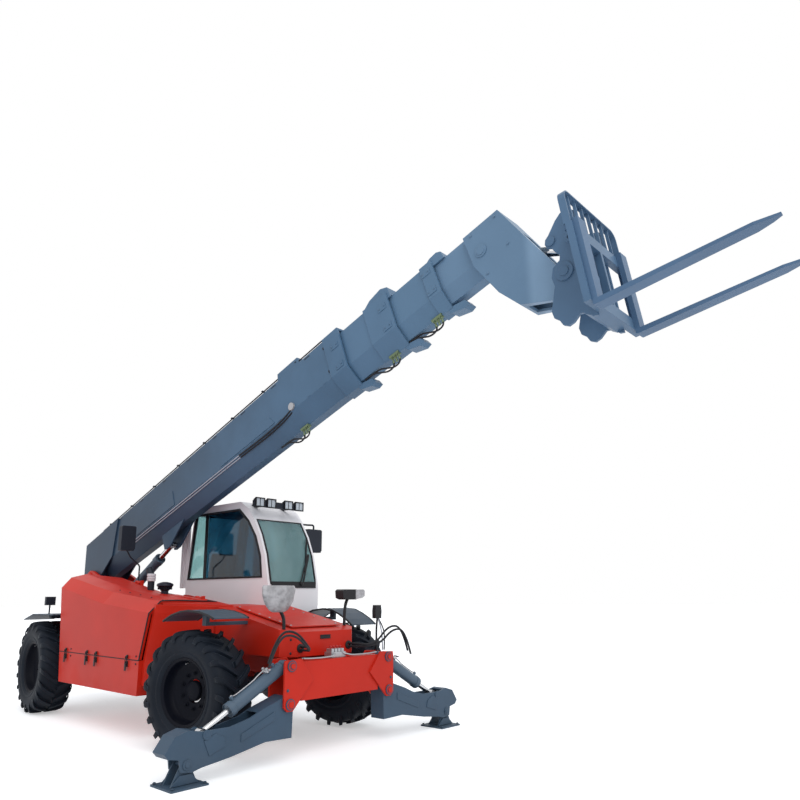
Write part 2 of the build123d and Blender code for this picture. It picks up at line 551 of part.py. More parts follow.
# ------------------------------------------------------------------ front body
NOSE_FRONT, NOSE_BACK = 780, -1000
CORNER = 120                 # cut corners at the nose
nose_side = [(NOSE_FRONT, 900), (NOSE_FRONT, 1140), (-450, 1380), (NOSE_BACK, 1395), (NOSE_BACK, 1240),
             (-640, 1240), (-400, 900)]
nose = side(nose_side, -NOSE_Y, NOSE_Y)
nose = nose & plan([(NOSE_BACK, -NOSE_Y), (NOSE_FRONT - CORNER, -NOSE_Y), (NOSE_FRONT, -NOSE_Y + CORNER),
                    (NOSE_FRONT, NOSE_Y - CORNER), (NOSE_FRONT - CORNER, NOSE_Y), (NOSE_BACK, NOSE_Y)], 0, 2000)
nose -= side([(NOSE_FRONT - 12, 890), (NOSE_FRONT - 12, 1128), (-450, 1368), (NOSE_BACK - 5, 1383),
              (NOSE_BACK - 5, 1230), (-640, 1230), (-395, 890)], -NOSE_Y + 12, NOSE_Y - 12) \
    & plan([(NOSE_BACK - 5, -NOSE_Y + 12), (NOSE_FRONT - CORNER - 5, -NOSE_Y + 12),
            (NOSE_FRONT - 12, -NOSE_Y + CORNER + 5), (NOSE_FRONT - 12, NOSE_Y - CORNER - 5),
            (NOSE_FRONT - CORNER - 5, NOSE_Y - 12), (NOSE_BACK - 5, NOSE_Y - 12)], 0, 2000)
# flanges inside the nose that sit on the frame's side plates
for s in (-1, 1):
    for x0 in (-380, 100, 520):
        y0, y1 = sorted((s * PLATE_Y[1], s * (NOSE_Y - 11)))
        nose += block((x0, x0 + 30), (y0, y1), (950, 1070))
nose -= block((NOSE_BACK - 10, -600), (CAB_RIGHT - 8, NOSE_Y + 5), (1000, 1500))
nose -= block((NOSE_BACK - 10, -460), (-NOSE_Y - 5, -PLATE_Y[1] - 1), (800, 1500))
keep("nose_body", nose)

# ------------------------------------------------------------------ stabiliser beam
PLATE = 20
BEAM_Z = (530, 885)
BEAM_END = 520               # half length of the box between the end plates
ly, lz = LEG_PIVOT
ry, rz = RAM_TOP
end_outline = [(ly - 70, lz - 25), (ly - 30, lz - 62), (ly + 35, lz - 62), (-385, 715), (-545, 915),
               (-735, 905), (-742, 860)]
beam = block((LEG_X[0] - 8, LEG_X[1] + 6), (-BEAM_END, BEAM_END), BEAM_Z)
beam -= block((LEG_X[0] + 4, LEG_X[1] - 6), (-BEAM_END - 5, BEAM_END + 5), (BEAM_Z[0] + 12, BEAM_Z[1] - 12))
beam += block((NOSE_FRONT - 100, LEG_X[0] - 7), (-PLATE_Y[1] - 20, PLATE_Y[1] + 20), (BEAM_Z[0] + 60, 880))
beam -= block((NOSE_FRONT - 200, 700), (-PLATE_Y[1], PLATE_Y[1]), (BEAM_Z[0], 1000))
for low, high in ((LEG_X[0] - 8 - PLATE, LEG_X[0] - 8), (LEG_X[1] + 6, LEG_X[1] + 6 + PLATE)):
    beam += both(across(end_outline, low, high))
LEG_PIN_R, RAM_PIN_R = 28, 24
for s in (-1, 1):
    beam += pin_x((s * abs(ly), lz), LEG_X[0] - 60, LEG_X[1] + 52, LEG_PIN_R)
    beam += pin_x((s * abs(ry), rz), LEG_X[0] - 60, LEG_X[1] + 52, RAM_PIN_R)
    for centre in ((s * abs(ly), lz), (s * abs(ry), rz)):
        beam += pin_x(centre, LEG_X[1] + 25, LEG_X[1] + 40, 42)
keep("stabiliser_beam", beam)

# ------------------------------------------------------------------ stabilisers
leg_outline = [(ly + 60, lz + 10), (ly + 40, lz + 62), (ly - 20, lz + 78), (-790, 560), (-960, 505),
               (-1090, 450), (-1290, 405), (-1560, 405), (-1690, 430), (-1810, 395), (-1895, 275),
               (-1860, 235), (-1760, 215), (-1745, 120), (-1640, 105), (-1560, 125), (-1280, 160),
               (-920, 225), (ly + 50, 218)]
x0, x1 = LEG_X
leg = across(leg_outline, x0, x1)
core = [(ly - 120, 520), (-960, 475), (-1090, 500), (-1090, 700), (-1640, 700), (-1640, 405), (-1700, 404),
        (-1795, 372), (-1868, 272), (-1800, 190), (-1800, 60), (-1640, 60), (-1560, 145), (-1280, 180),
        (-920, 245), (ly - 40, 240)]
leg -= across(core, x0 + LEG_PLATE, x1 - LEG_PLATE)
leg -= pin_x(LEG_PIVOT, x0 - 50, x1 + 50, LEG_PIN_R + FIT)
FOOT_PIN_R = 20
leg += pin_x(FOOT_PIN, x0 - 14, x1 + 14, FOOT_PIN_R)
leg += pin_x(RAM_EYE, x1, x1 + 10, 40)
leg += pin_x(RAM_EYE, x0 - 10, x0, 40)

fy, fz = FOOT_PIN
xm = (x0 + x1) / 2
LUG_GAP = LEG_PLATE + 8
foot = block((xm - FOOT_X / 2, xm + FOOT_X / 2), (fy - FOOT_Y / 2, fy + FOOT_Y / 2), (0, 16))
foot_lug = [(fy - 120, 15), (fy - 34, fz + 12), (fy - 14, fz + 34), (fy + 14, fz + 34), (fy + 34, fz + 12),
            (fy + 120, 15)]
for low in (x0 + LUG_GAP, x1 - LUG_GAP - 16):
    foot += across(foot_lug, low, low + 16)
foot -= pin_x(FOOT_PIN, x0 - 50, x1 + 50, FOOT_PIN_R + FIT)

ram_angle = degrees(atan2(RAM_EYE[1] - rz, RAM_EYE[0] - ry))
RAM_LENGTH = hypot(RAM_EYE[0] - ry, RAM_EYE[1] - rz)
RAM_BARREL = 680
RAM_BARREL_R, RAM_ROD_R = 60, 27


def ram_point(along):
    k = along / RAM_LENGTH
    return (xm, ry + (RAM_EYE[0] - ry) * k, rz + (RAM_EYE[1] - rz) * k)


ram_barrel = rod(ram_point(70), ram_point(RAM_BARREL), RAM_BARREL_R)
ram_barrel += rod(ram_point(RAM_BARREL - 46), ram_point(RAM_BARREL), RAM_BARREL_R + 6)
ram_barrel += pin_x(RAM_TOP, xm - 40, xm + 40, 48)
ram_barrel += rod(ram_point(20), ram_point(75), 36)
ram_barrel -= rod(ram_point(110), ram_point(RAM_BARREL + 10), RAM_ROD_R + FIT)
ram_barrel -= pin_x(RAM_TOP, x0 - 50, x1 + 50, RAM_PIN_R + FIT)
ram_rod = rod(ram_point(372), ram_point(RAM_LENGTH - 25), RAM_ROD_R)
ram_rod += pin_x(RAM_EYE, xm - 32, xm + 32, 42)
ram_rod += pin_x(RAM_EYE, x0 + LEG_PLATE + 6, x1 - LEG_PLATE - 6, 22)
for name, piece in (("stabiliser_leg", leg), ("stabiliser_foot", foot), ("stabiliser_barrel", ram_barrel),
                    ("stabiliser_rod", ram_rod)):
    keep(f"{name}_right", piece)
    keep(f"{name}_left", mirror(piece, about=Plane.XZ))

# ------------------------------------------------------------------ engine side
SEAM_Z = 820
HOOD_LOW = 455
SKIN = 30
LID_IN = -318                # inner edge of the lid, beside the boom
WALL_IN = (-305, -276)       # inner wall of the engine bay
POD_IN = -PLATE_Y[1]
# lid stations: x, top of the flat side, ridge, crown, inner edge
LID_STATIONS = [(REAR + 525, 1612, 1743, 1790, 1750), (REAR + 1760, 1410, 1543, 1572, 1526),
                (-740, 1316, 1436, 1442, 1426)]
RIDGE_Y, CROWN_Y = -1000, -800
HOOD_OUTLINE = [(REAR + 725, HOOD_LOW), (-930, HOOD_LOW), (-930, SEAM_Z), (-780, 1320), (-760, 1460),
                (-760, 2000), (REAR + 515, 2000), (REAR + 559, 1700), (REAR + 674, SEAM_Z)]


def bay_volume(inset, low, inner):
    """The engine bay's outside, or an even step inside it."""
    faces = []
    for x, flat, ridge, crown, edge in LID_STATIONS:
        drop = inset * 0.6
        points = [(x, inner, low), (x, -HOOD_Y + inset, low), (x, -HOOD_Y + inset, flat - drop),
                  (x, RIDGE_Y + drop, ridge - inset), (x, CROWN_Y + drop / 2, crown - inset),
                  (x, inner, edge - inset)]
        faces.append(make_face(Polyline(*points, close=True)))
    return loft(faces[:2], ruled=True) + loft(faces[1:], ruled=True)


lid = bay_volume(0, SEAM_Z + 3, LID_IN) & side(HOOD_OUTLINE, -HOOD_Y - 1, 0)
lid -= bay_volume(SKIN, SEAM_Z - 60, LID_IN + 20)
HINGE_Y = LID_IN + 8
hinge_tilt = degrees(atan2(LID_STATIONS[2][4] - LID_STATIONS[0][4], LID_STATIONS[2][0] - LID_STATIONS[0][0]))
HINGE_START = (LID_STATIONS[0][0], LID_STATIONS[0][4] - 4)
LID_LENGTH = LID_STATIONS[2][0] - LID_STATIONS[0][0]
HINGE_AT = (0.19 * LID_LENGTH, 0.825 * LID_LENGTH)   # the two hinges, along the lid's inner edge
HINGE_R, HINGE_BARREL = 9, 17


def hinge_bar(low, high, radius):
    (xa, za), (xb, zb) = (place((d, 0), HINGE_START, hinge_tilt) for d in (low, high))
    return rod((xa, HINGE_Y, za), (xb, HINGE_Y, zb), radius)


inside = bay_volume(SKIN + 8, HOOD_LOW, WALL_IN[1]) & side(HOOD_OUTLINE, -HOOD_Y - 1, 0)
hood_base = side(HOOD_OUTLINE, -HOOD_Y, POD_IN) & block((-3200, -700), (-HOOD_Y, POD_IN), (HOOD_LOW, SEAM_Z - 3))
hood_base -= side(shrink(HOOD_OUTLINE, SKIN), -HOOD_Y + SKIN, POD_IN - SKIN)
hood_base += side(HOOD_OUTLINE, *WALL_IN) & inside
rear_wall = [(REAR + 727, 500), (REAR + 676, SEAM_Z), (REAR + 550, 1780), (REAR + 575, 1780),
             (REAR + 701, SEAM_Z), (REAR + 752, 500)]
hood_base += side(rear_wall, -HOOD_Y + SKIN + 12, POD_IN) & inside
# bulkhead at the bay's front, its outer edge following the lid's: height and x of that edge
BULKHEAD = [(560, -925), (SEAM_Z, -925), (1320, -790), (1460, -768)]
DECK = [(-745, 1404), (-455, 1368), (-455, 1390), (-745, 1427)]


def bulkhead_outline(x, z):
    corners = [(x, -1075), (x + 53, -1075), (-462, -412), (-462, WALL_IN[0] + 1), (-487, WALL_IN[0] + 1),
               (-487, -419), (x + 39, -1050), (x, -1050)]
    return make_face(Polyline(*[(u, v, z) for u, v in corners], close=True))


FRONT_ROOM = [(-930, 560), (-930, SEAM_Z), (-780, 1320), (-766.8, 1412), (-745, 1409), (-455, 1373), (-455, 560)]
front_room = inside + side(FRONT_ROOM, -HOOD_Y, POD_IN)
for (z0, x0), (z1, x1) in zip(BULKHEAD, BULKHEAD[1:]):
    hood_base += loft([bulkhead_outline(x0, z0), bulkhead_outline(x1, z1)], ruled=True) & front_room
deck_outline = [(-790, -1075), (-462, -412), (-462, WALL_IN[1]), (-790, WALL_IN[1])]
hood_base += plan(deck_outline, 1000, 1600) & side(DECK, -HOOD_Y, POD_IN)
hood_base += side([(-800, 1300), (-700, 560), (-462, 560), (-462, 1372), (-744, 1409), (-744, 1380)], *WALL_IN)
for d in HINGE_AT:
    leaf = hinge_bar(d, d + 120, HINGE_R)
    x_low, x_high = place((d, 0), HINGE_START, hinge_tilt)[0], place((d + 120, 0), HINGE_START, hinge_tilt)[0]
    height = place((d, 0), HINGE_START, hinge_tilt)[1]
    for x in (x_low - 12, x_high):
        leaf += block((x, x + 12), (HINGE_Y - 14, WALL_IN[1]), (height - 110, height + 14))
    lid -= block((x_low - 20, x_high + 20), (HINGE_Y - 26, 0), (height - 160, height + 60))
    barrel = hinge_bar(d + 4, d + 112, HINGE_BARREL)
    for x in (x_low + 20, x_high - 20):
        z = height + (x - x_low) * (LID_STATIONS[2][4] - HINGE_START[1]) / LID_LENGTH
        barrel += rod((x, HINGE_Y, z), (x, HINGE_Y - 75, z - 25), 9)
    barrel -= hinge_bar(d - 10, d + 140, HINGE_R + FIT)
    lid += barrel
    hood_base += leaf
keep("hood_base", hood_base)
keep("hood_lid", lid)

engine = block((REAR + 975, -1300), (-1000, -380), (HOOD_LOW + SKIN + 95, 1290))
for x in (REAR + 1175, -1500):
    engine += block((x - 60, x + 60), (-900, -450), (HOOD_LOW + SKIN, HOOD_LOW + SKIN + 96))
keep("engine_block", engine)
CLEANER = (-1720, -420, 78, 1668)   # x, y, radius, top
cx, cy, cr, ctop = CLEANER
cleaner = rod((cx, cy, 1480), (cx, cy, ctop - 20), cr) + rod((cx, cy, ctop - 22), (cx, cy, ctop), cr - 14)
keep("pre_cleaner", cleaner - bay_volume(0, SEAM_Z, LID_IN))

# ------------------------------------------------------------------ cab
FLOOR_LOW = 1180
CAB_SIDE = [(-2450, FLOOR_LOW), (-2450, 1700), (-2310, 2620), (-2240, 2700), (-1240, 2700), (-1060, 2600),
            (-930, 2450), (-800, 2250), (-690, 2000), (-600, 1620), (-600, 1230), (-660, FLOOR_LOW)]
ROOF_Z = 2625
RIGHT_WINDOW = [(-2395, 1720), (-2252, 2595), (-1250, 2595), (-1045, 2433), (-880, 2222), (-775, 1981),
                (-735, 1725)]
DOOR_OPENING = [(-2300, 1250), (-2300, 1720), (-2190, 2600), (-1230, 2600), (-760, 1735), (-760, 1250)]
DOOR_WINDOW = [(-2225, 1760), (-2135, 2530), (-1255, 2530), (-830, 1760)]
# openings of the rear window and the windscreen: x and z, each low and high
END_WINDOWS = [((-2500, -2270), (1725, 2590)), ((-985, -500), (1645, 2440))]


cab = side(CAB_SIDE, CAB_RIGHT, CAB_LEFT)
cab -= side(shrink(CAB_SIDE, CAB_WALL), CAB_RIGHT + CAB_WALL, CAB_LEFT - CAB_WALL)
cab -= side(RIGHT_WINDOW, CAB_RIGHT - 1, CAB_RIGHT + CAB_WALL + 1)
cab -= side(DOOR_OPENING, CAB_LEFT - CAB_WALL - 1, CAB_LEFT + 1)
clear_y = (CAB_RIGHT + CAB_WALL + 10, CAB_LEFT - CAB_WALL - 10)
for x, z in END_WINDOWS:
    cab -= block(x, clear_y, z)
roof_cut = block((-3000, 0), (0, 1500), (ROOF_Z, 3000))
keep("cab_roof", cab & roof_cut)
cab_frame = cab - roof_cut
DOOR_HINGE = (DOOR_OPENING[0][0], CAB_LEFT + 20)    # x, y
for z in (1320, 1600):
    cab_frame += block((DOOR_HINGE[0] - 60, DOOR_HINGE[0] + 12), (CAB_LEFT - 1, DOOR_HINGE[1] + 12), (z, z + 14)) \
        - block((DOOR_HINGE[0] - 10, DOOR_HINGE[0] + 20), (CAB_LEFT - 2, CAB_LEFT + 3), (z - 1, z + 15))
    cab_frame += rod((*DOOR_HINGE, z), (*DOOR_HINGE, z + 80), 9)
keep("cab_frame", cab_frame)

pane = (CAB_WALL - GLASS) / 2
glass = side(RIGHT_WINDOW, CAB_RIGHT + pane, CAB_RIGHT + pane + GLASS)
skin = side(shrink(CAB_SIDE, pane), *clear_y) - side(shrink(CAB_SIDE, pane + GLASS), *clear_y)
end_panes = [skin & block(x, clear_y, z) for x, z in END_WINDOWS]
keep("cab_glass", Compound(children=[glass, *end_panes]))

door = side(shrink(DOOR_OPENING, DOOR_GAP), CAB_LEFT - CAB_WALL, CAB_LEFT)
door -= side(DOOR_WINDOW, CAB_LEFT - CAB_WALL - 1, CAB_LEFT + 1)
for z in (1320, 1600):
    hinge = rod((*DOOR_HINGE, z + 16), (*DOOR_HINGE, z + 72), 15)
    hinge += block((DOOR_HINGE[0], DOOR_HINGE[0] + 80), (CAB_LEFT - 1, CAB_LEFT + 14), (z + 16, z + 72))
    hinge -= rod((*DOOR_HINGE, z), (*DOOR_HINGE, z + 90), 9 + FIT)
    door += hinge
door += block((-900, -850), (CAB_LEFT - 1, CAB_LEFT + 18), (1560, 1690))
keep("cab_door", door)
keep("door_glass", side(DOOR_WINDOW, CAB_LEFT - pane - GLASS, CAB_LEFT - pane))

FLOOR_Z = FLOOR_LOW + CAB_WALL
SEAT_Y = (480, 940)
seat = block((-2060, -1640), (520, 900), (FLOOR_Z, 1470))
seat += side([(-2130, 1470), (-1600, 1470), (-1600, 1560), (-1640, 1590), (-2040, 1570), (-2160, 2100),
              (-2235, 2090)], *SEAT_Y)
keep("seat", seat)
console = side([(-1000, FLOOR_Z), (-640, FLOOR_Z), (-640, 1560), (-700, 1640), (-900, 1600), (-1000, 1520)],
               CAB_RIGHT + CAB_WALL, CAB_LEFT - CAB_WALL)
WHEEL_AT = (-1150, 1760)
WHEEL_LEAN = 40              # steering wheel's lean from level
column = rod((-920, 700, 1520), (WHEEL_AT[0], 700, WHEEL_AT[1]), 38)
wheel_plane = Pos(WHEEL_AT[0], 700, WHEEL_AT[1]) * Rot(0, -WHEEL_LEAN, 0)
steering = wheel_plane * Torus(185, 15)
steering += wheel_plane * Pos(0, 0, -8) * (Cylinder(45, 30) + Box(30, 360, 14) + Box(360, 30, 14))
console = console & side(shrink(CAB_SIDE, CAB_WALL), CAB_RIGHT, CAB_LEFT)
keep("dashboard", console + (column - steering))
keep("steering_wheel", steering)

# red skirt and sill that carry the cab, tank and steps under it
skirt = side([(-2440, 640), (-2440, 1512), (-2360, 1510), (-720, 1308), (-610, 1200), (-610, 640)],
             PLATE_Y[1], CAB_RIGHT - 5)
skirt += side([(-2440, 1080), (-2440, 1180), (-640, 1180), (-610, 1150), (-610, 1080)], PLATE_Y[1], CAB_LEFT - 10)
keep("cab_sill", skirt)
SKIRT_OUT = CAB_RIGHT - 5
tank = side([(-2350, 520), (-2350, 1080), (-1580, 1080), (-1580, 520), (-1640, 480), (-2290, 480)],
            SKIRT_OUT, 1080)
steps = block((-1540, -1520), (SKIRT_OUT, 1100), (520, 1080))
steps += block((-1060, -1040), (SKIRT_OUT, 1100), (520, 1080))
for z, y in ((540, 880), (810, 820)):
    steps += block((-1521, -1059), (y, 1100), (z, z + 25))
keep("access_steps", steps)
oil_tank = block((-1000, -740), (SKIRT_OUT, 960), (560, 1080))
keep("side_tanks", Compound(children=[tank, oil_tank]))
keep("battery_box", block((REAR + 735, CAB_SIDE[0][0] - 60), (PLATE_Y[1], 980), (640, 1180)))

# ------------------------------------------------------------------ fittings
light_bar = block((-930, -880), (270, 1060), (2612, 2690))
for y in (430, 880):
    light_bar += block((-1200, -929), (y, y + 40), (2625, 2665))
keep("light_bar", light_bar - cab)

MIRROR = (-900, 1275)        # x, y of the left mirror's middle
mirrors = block((MIRROR[0] - 20, MIRROR[0] + 20), (MIRROR[1] - 125, MIRROR[1] + 125), (2072, 2375))
mirrors += pipe([(MIRROR[0] - 40, CAB_LEFT, 2440), (MIRROR[0] - 40, CAB_LEFT + 90, 2440),
                 (*MIRROR, 2440), (*MIRROR, 2370)], 25, 12)

MIRROR_X = REAR + 925
POLE_Y = WALL_IN[1] + 14     # the hood mirror's pole, on a clamp on the bay's inner wall
hood_mirror = block((MIRROR_X - 20, MIRROR_X + 20), (-560, -370), (2100, 2420))
hood_mirror += pipe([(MIRROR_X, POLE_Y, 1540), (MIRROR_X, POLE_Y, 1900), (MIRROR_X, -400, 2010),
                     (MIRROR_X, -465, 2110)], 50, 10)
hood_mirror += block((MIRROR_X - 25, MIRROR_X + 25), (WALL_IN[1], WALL_IN[1] + 12), (1540, 1620))
keep("mirrors", Compound(children=[mirrors, hood_mirror]))

LAMP_POST = 16
lamps = {}
# the right lamp is a bowl, the left a box: y, x, outline from the front, half depth
BOWL = [(-70, 1335), (70, 1335), (150, 1395), (200, 1500), (208, 1560), (192, 1598), (-192, 1598), (-208, 1560),
        (-200, 1500), (-150, 1395)]
BOX = [(-155, 1450), (155, 1450), (175, 1470), (175, 1545), (155, 1565), (-155, 1565), (-175, 1545), (-175, 1470)]
for hand, y, x, outline in (("right", -520, 650, BOWL), ("left", 515, 600, BOX)):
    low = outline[0][1]
    lamp = across([(y + v, z) for v, z in outline], x - 60, x + 70)
    post_y = (NOSE_Y - 60) * (1 if y > 0 else -1)
    foot_z = 1140 + (NOSE_FRONT - x) * 240 / (NOSE_FRONT + 450)
    lamp += rod((x, post_y, foot_z - 4), (x, post_y, low + 5), LAMP_POST)
    lamps[hand] = lamp - nose
keep("front_lamps", Compound(children=list(lamps.values())))

TYRE_TOP = 2 * TYRE_R
FENDER_Y = (-WHEEL_Y - 203, -WHEEL_Y + 190)
LEAF = 12                    # fender plate, measured upright
# each front fender: its lower face as (x, height over the tyre), and its arm's back, front and post top
FENDERS = {
    -1: ([(-330, 72), (-180, 132), (-20, 168), (60, 180), (130, 180), (320, 168), (470, 140), (560, 112)],
         (60, 130, 180.5)),
    1: ([(-570, 50), (-480, 95), (-350, 140), (-200, 160), (-130, 160), (0, 148), (120, 105), (250, 42), (340, -18)],
        (-200, -130, 160.5)),
}


def leaf_outline(lower):
    points = [(x, TYRE_TOP + z) for x, z in lower]
    return points + [(x, z + LEAF) for x, z in points[::-1]]


front_fenders = []
for hand, (lower, (arm_back, arm_front, post_top)) in FENDERS.items():
    y0, y1 = sorted((hand * -FENDER_Y[0], hand * -FENDER_Y[1]))
    fender = side(leaf_outline(lower), y0, y1)
    fender += block((arm_back, arm_front), (hand * WHEEL_Y, hand * NOSE_Y), (TYRE_TOP + 35, TYRE_TOP + 70))
    fender += block((arm_back, arm_front), (hand * WHEEL_Y, hand * (WHEEL_Y - 40)), (TYRE_TOP + 35, TYRE_TOP + post_top))
    front_fenders.append(fender)
REAR_ARM = (REAR - 35, REAR + 35)
rear_top = [(REAR - 350, TYRE_TOP + 10), (REAR - 55, TYRE_TOP + 85), (REAR + 585, TYRE_TOP + 88),
            (REAR + 585, TYRE_TOP + 100), (REAR - 57, TYRE_TOP + 97), (REAR - 353, TYRE_TOP + 22)]
rear_fenders = both(side(rear_top, *FENDER_Y)
                    + block(REAR_ARM, (-WHEEL_Y, -PLATE_Y[1]), (TYRE_TOP + 30, TYRE_TOP + 86)))
keep("fenders", Compound(children=[*front_fenders, *rear_fenders.solids()]))
LAMP_X = REAR + 175
rear_lamps = both(rod((LAMP_X, -1090, TYRE_TOP + 98), (LAMP_X, -1090, TYRE_TOP + 215), 10)
                  + block((LAMP_X - 25, LAMP_X + 25), (-1150, -1030), (TYRE_TOP + 210, TYRE_TOP + 320)))
keep("rear_lamps", Compound(children=list((rear_lamps - rear_fenders).solids())))

HITCH_BORE = 16
HITCH_PLATE = 25
back = px - 190
hitch = block((back - 12, back), (-110, 110), (690, 840))
for z in (705, 800):
    hitch += plan([(back - 11, -60), (back - 11, 60), (back - 90, 45), (back - 115, 25), (back - 115, -25),
                   (back - 90, -45)], z, z + HITCH_PLATE)
hitch -= rod((back - 75, 0, 600), (back - 75, 0, 900), HITCH_BORE)
keep("tow_hitch", hitch)

# hydraulic hoses that loop from the front body to the stabilisers' cylinders
HOSE_R = 11
loops = []
for dx, dy in ((0, 0), (30, 34)):
    loops.append(pipe([(NOSE_FRONT, -330, 1000 - dy), (NOSE_FRONT + 110, -330, 1000 - dy), (1068 + dx, -440 - dy, 985),
                       (1076 + dx, -640 - dy, 1180 - dy), (1080 + dx, -860 - dy / 2, 1160 - dy),
                       (1080 + dx, -950 - dy / 2, 900 - dy)], 90, HOSE_R))
loops += [mirror(loop, about=Plane.XZ) for loop in loops]
keep("stabiliser_hoses", Compound(children=loops))

# ------------------------------------------------------------------ moved to the middle and written
low = min(piece.bounding_box().min.X for piece in NODES.values())
high = max(piece.bounding_box().max.X for piece in NODES.values())
SHIFT = -(low + high) / 2
for name, piece in NODES.items():
    export_step(Pos(SHIFT, 0, 0) * piece, f"parts/{name}.step")
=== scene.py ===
"""Telehandler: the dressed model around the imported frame, in metres, +X forward, +Z up."""
import json
import math
import bmesh
import bpy
from mathutils import Matrix, Vector

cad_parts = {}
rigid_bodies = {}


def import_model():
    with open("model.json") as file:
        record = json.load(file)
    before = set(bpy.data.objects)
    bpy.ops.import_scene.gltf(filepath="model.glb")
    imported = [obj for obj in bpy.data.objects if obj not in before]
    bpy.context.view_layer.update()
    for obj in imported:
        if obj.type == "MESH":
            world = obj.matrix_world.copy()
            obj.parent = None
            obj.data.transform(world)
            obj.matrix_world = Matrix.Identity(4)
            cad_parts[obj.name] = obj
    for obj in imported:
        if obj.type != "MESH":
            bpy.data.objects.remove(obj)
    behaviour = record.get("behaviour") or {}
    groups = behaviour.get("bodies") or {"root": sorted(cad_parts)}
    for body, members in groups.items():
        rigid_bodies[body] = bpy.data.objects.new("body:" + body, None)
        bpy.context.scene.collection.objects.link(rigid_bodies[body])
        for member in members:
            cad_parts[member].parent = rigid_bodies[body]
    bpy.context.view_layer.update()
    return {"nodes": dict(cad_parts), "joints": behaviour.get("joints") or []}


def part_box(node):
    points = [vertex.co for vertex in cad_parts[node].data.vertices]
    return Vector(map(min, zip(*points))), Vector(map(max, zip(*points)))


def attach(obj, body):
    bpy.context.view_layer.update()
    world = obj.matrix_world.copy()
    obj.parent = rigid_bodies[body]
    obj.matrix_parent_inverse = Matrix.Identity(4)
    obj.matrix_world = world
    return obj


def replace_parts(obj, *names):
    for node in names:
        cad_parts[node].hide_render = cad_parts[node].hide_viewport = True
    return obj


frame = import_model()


# ------------------------------------------------------------------ camera
# Stands low in front of the machine's right front corner and looks slightly up.
yaw, pitch, roll = math.radians(131.63), math.radians(11.20), math.radians(-0.177)
forward = Vector((math.cos(pitch) * math.cos(yaw), math.cos(pitch) * math.sin(yaw), math.sin(pitch)))
level_right = forward.cross(Vector((0, 0, 1))).normalized()
level_up = level_right.cross(forward)
camera_right = level_right * math.cos(roll) + level_up * math.sin(roll)
camera_up = level_up * math.cos(roll) - level_right * math.sin(roll)
camera = bpy.data.objects.new("camera", bpy.data.cameras.new("camera"))
scene = bpy.context.scene
scene.collection.objects.link(camera)
facing = Matrix((camera_right, camera_up, -forward)).transposed().to_4x4()
camera.matrix_world = Matrix.Translation((5.709, -4.892, 1.506)) @ facing
camera.data.sensor_width = 36
camera.data.lens = 30.55
camera.data.shift_y = 0.075
camera.data.clip_end = 400
scene.camera = camera
scene.view_settings.view_transform = "Standard"


# ------------------------------------------------------------------ stabiliser hoses
# Two pairs of 22 mm rubber pressure hoses, each looping from a union on the front body towards
# the valve on a stabiliser's cylinder; their far ends stop about 0.1 m short of it. Dull black rubber.
nodes = frame["nodes"]
FRONT_AXLE_X = sum(corner[0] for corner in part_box("front_axle")) / 2
DUST = (0.40, 0.37, 0.34, 1)


def at(x, y, z):
    """A place given in millimetres ahead of the front axle, left of the middle and above the ground."""
    return Vector((FRONT_AXLE_X + x / 1000, y / 1000, z / 1000))


def group(name, inputs, outputs):
    """A shader node group with named sockets: (name, value) pairs in, (name, kind) pairs out."""
    tree = bpy.data.node_groups.new(name, "ShaderNodeTree")
    for label, value in inputs:
        tree.interface.new_socket(label, in_out="INPUT", socket_type="NodeSocketFloat").default_value = value
    for label, kind in outputs:
        tree.interface.new_socket(label, in_out="OUTPUT", socket_type=kind)
    return tree, tree.nodes.new("NodeGroupInput"), tree.nodes.new("NodeGroupOutput")


def joined(tree, socket, value):
    """Sets a socket to a plain value, or links another socket to it."""
    if isinstance(value, bpy.types.NodeSocket):
        tree.links.new(value, socket)
    else:
        socket.default_value = value


def arithmetic(tree, operation, *values):
    node = tree.nodes.new("ShaderNodeMath")
    node.operation = operation
    for socket, value in zip(node.inputs, values):
        joined(tree, socket, value)
    return node.outputs[0]


def blended(tree, factor, a, b, kind="MIX"):
    node = tree.nodes.new("ShaderNodeMix")
    node.data_type = "RGBA"
    node.blend_type = kind
    for socket, value in ((node.inputs["Factor"], factor), (node.inputs[6], a), (node.inputs[7], b)):
        joined(tree, socket, value)
    return node.outputs[2]


def place_on_piece(tree, stretch=(1, 1, 1)):
    spot = tree.nodes.new("ShaderNodeTexCoord")
    turn = tree.nodes.new("ShaderNodeMapping")
    turn.inputs["Scale"].default_value = stretch
    tree.links.new(spot.outputs["Object"], turn.inputs["Vector"])
    return turn.outputs["Vector"]


def noise(tree, scale, detail=3.0, rough=0.55, stretch=(1, 1, 1)):
    node = tree.nodes.new("ShaderNodeTexNoise")
    tree.links.new(place_on_piece(tree, stretch), node.inputs["Vector"])
    joined(tree, node.inputs["Scale"], scale)
    node.inputs["Detail"].default_value = detail
    node.inputs["Roughness"].default_value = rough
    return node.outputs["Fac"]


def stepped(tree, value, low, high):
    node = tree.nodes.new("ShaderNodeMapRange")
    node.interpolation_type = "SMOOTHSTEP"
    for label, item in (("Value", value), ("From Min", low), ("From Max", high)):
        joined(tree, node.inputs[label], item)
    return node.outputs[0]


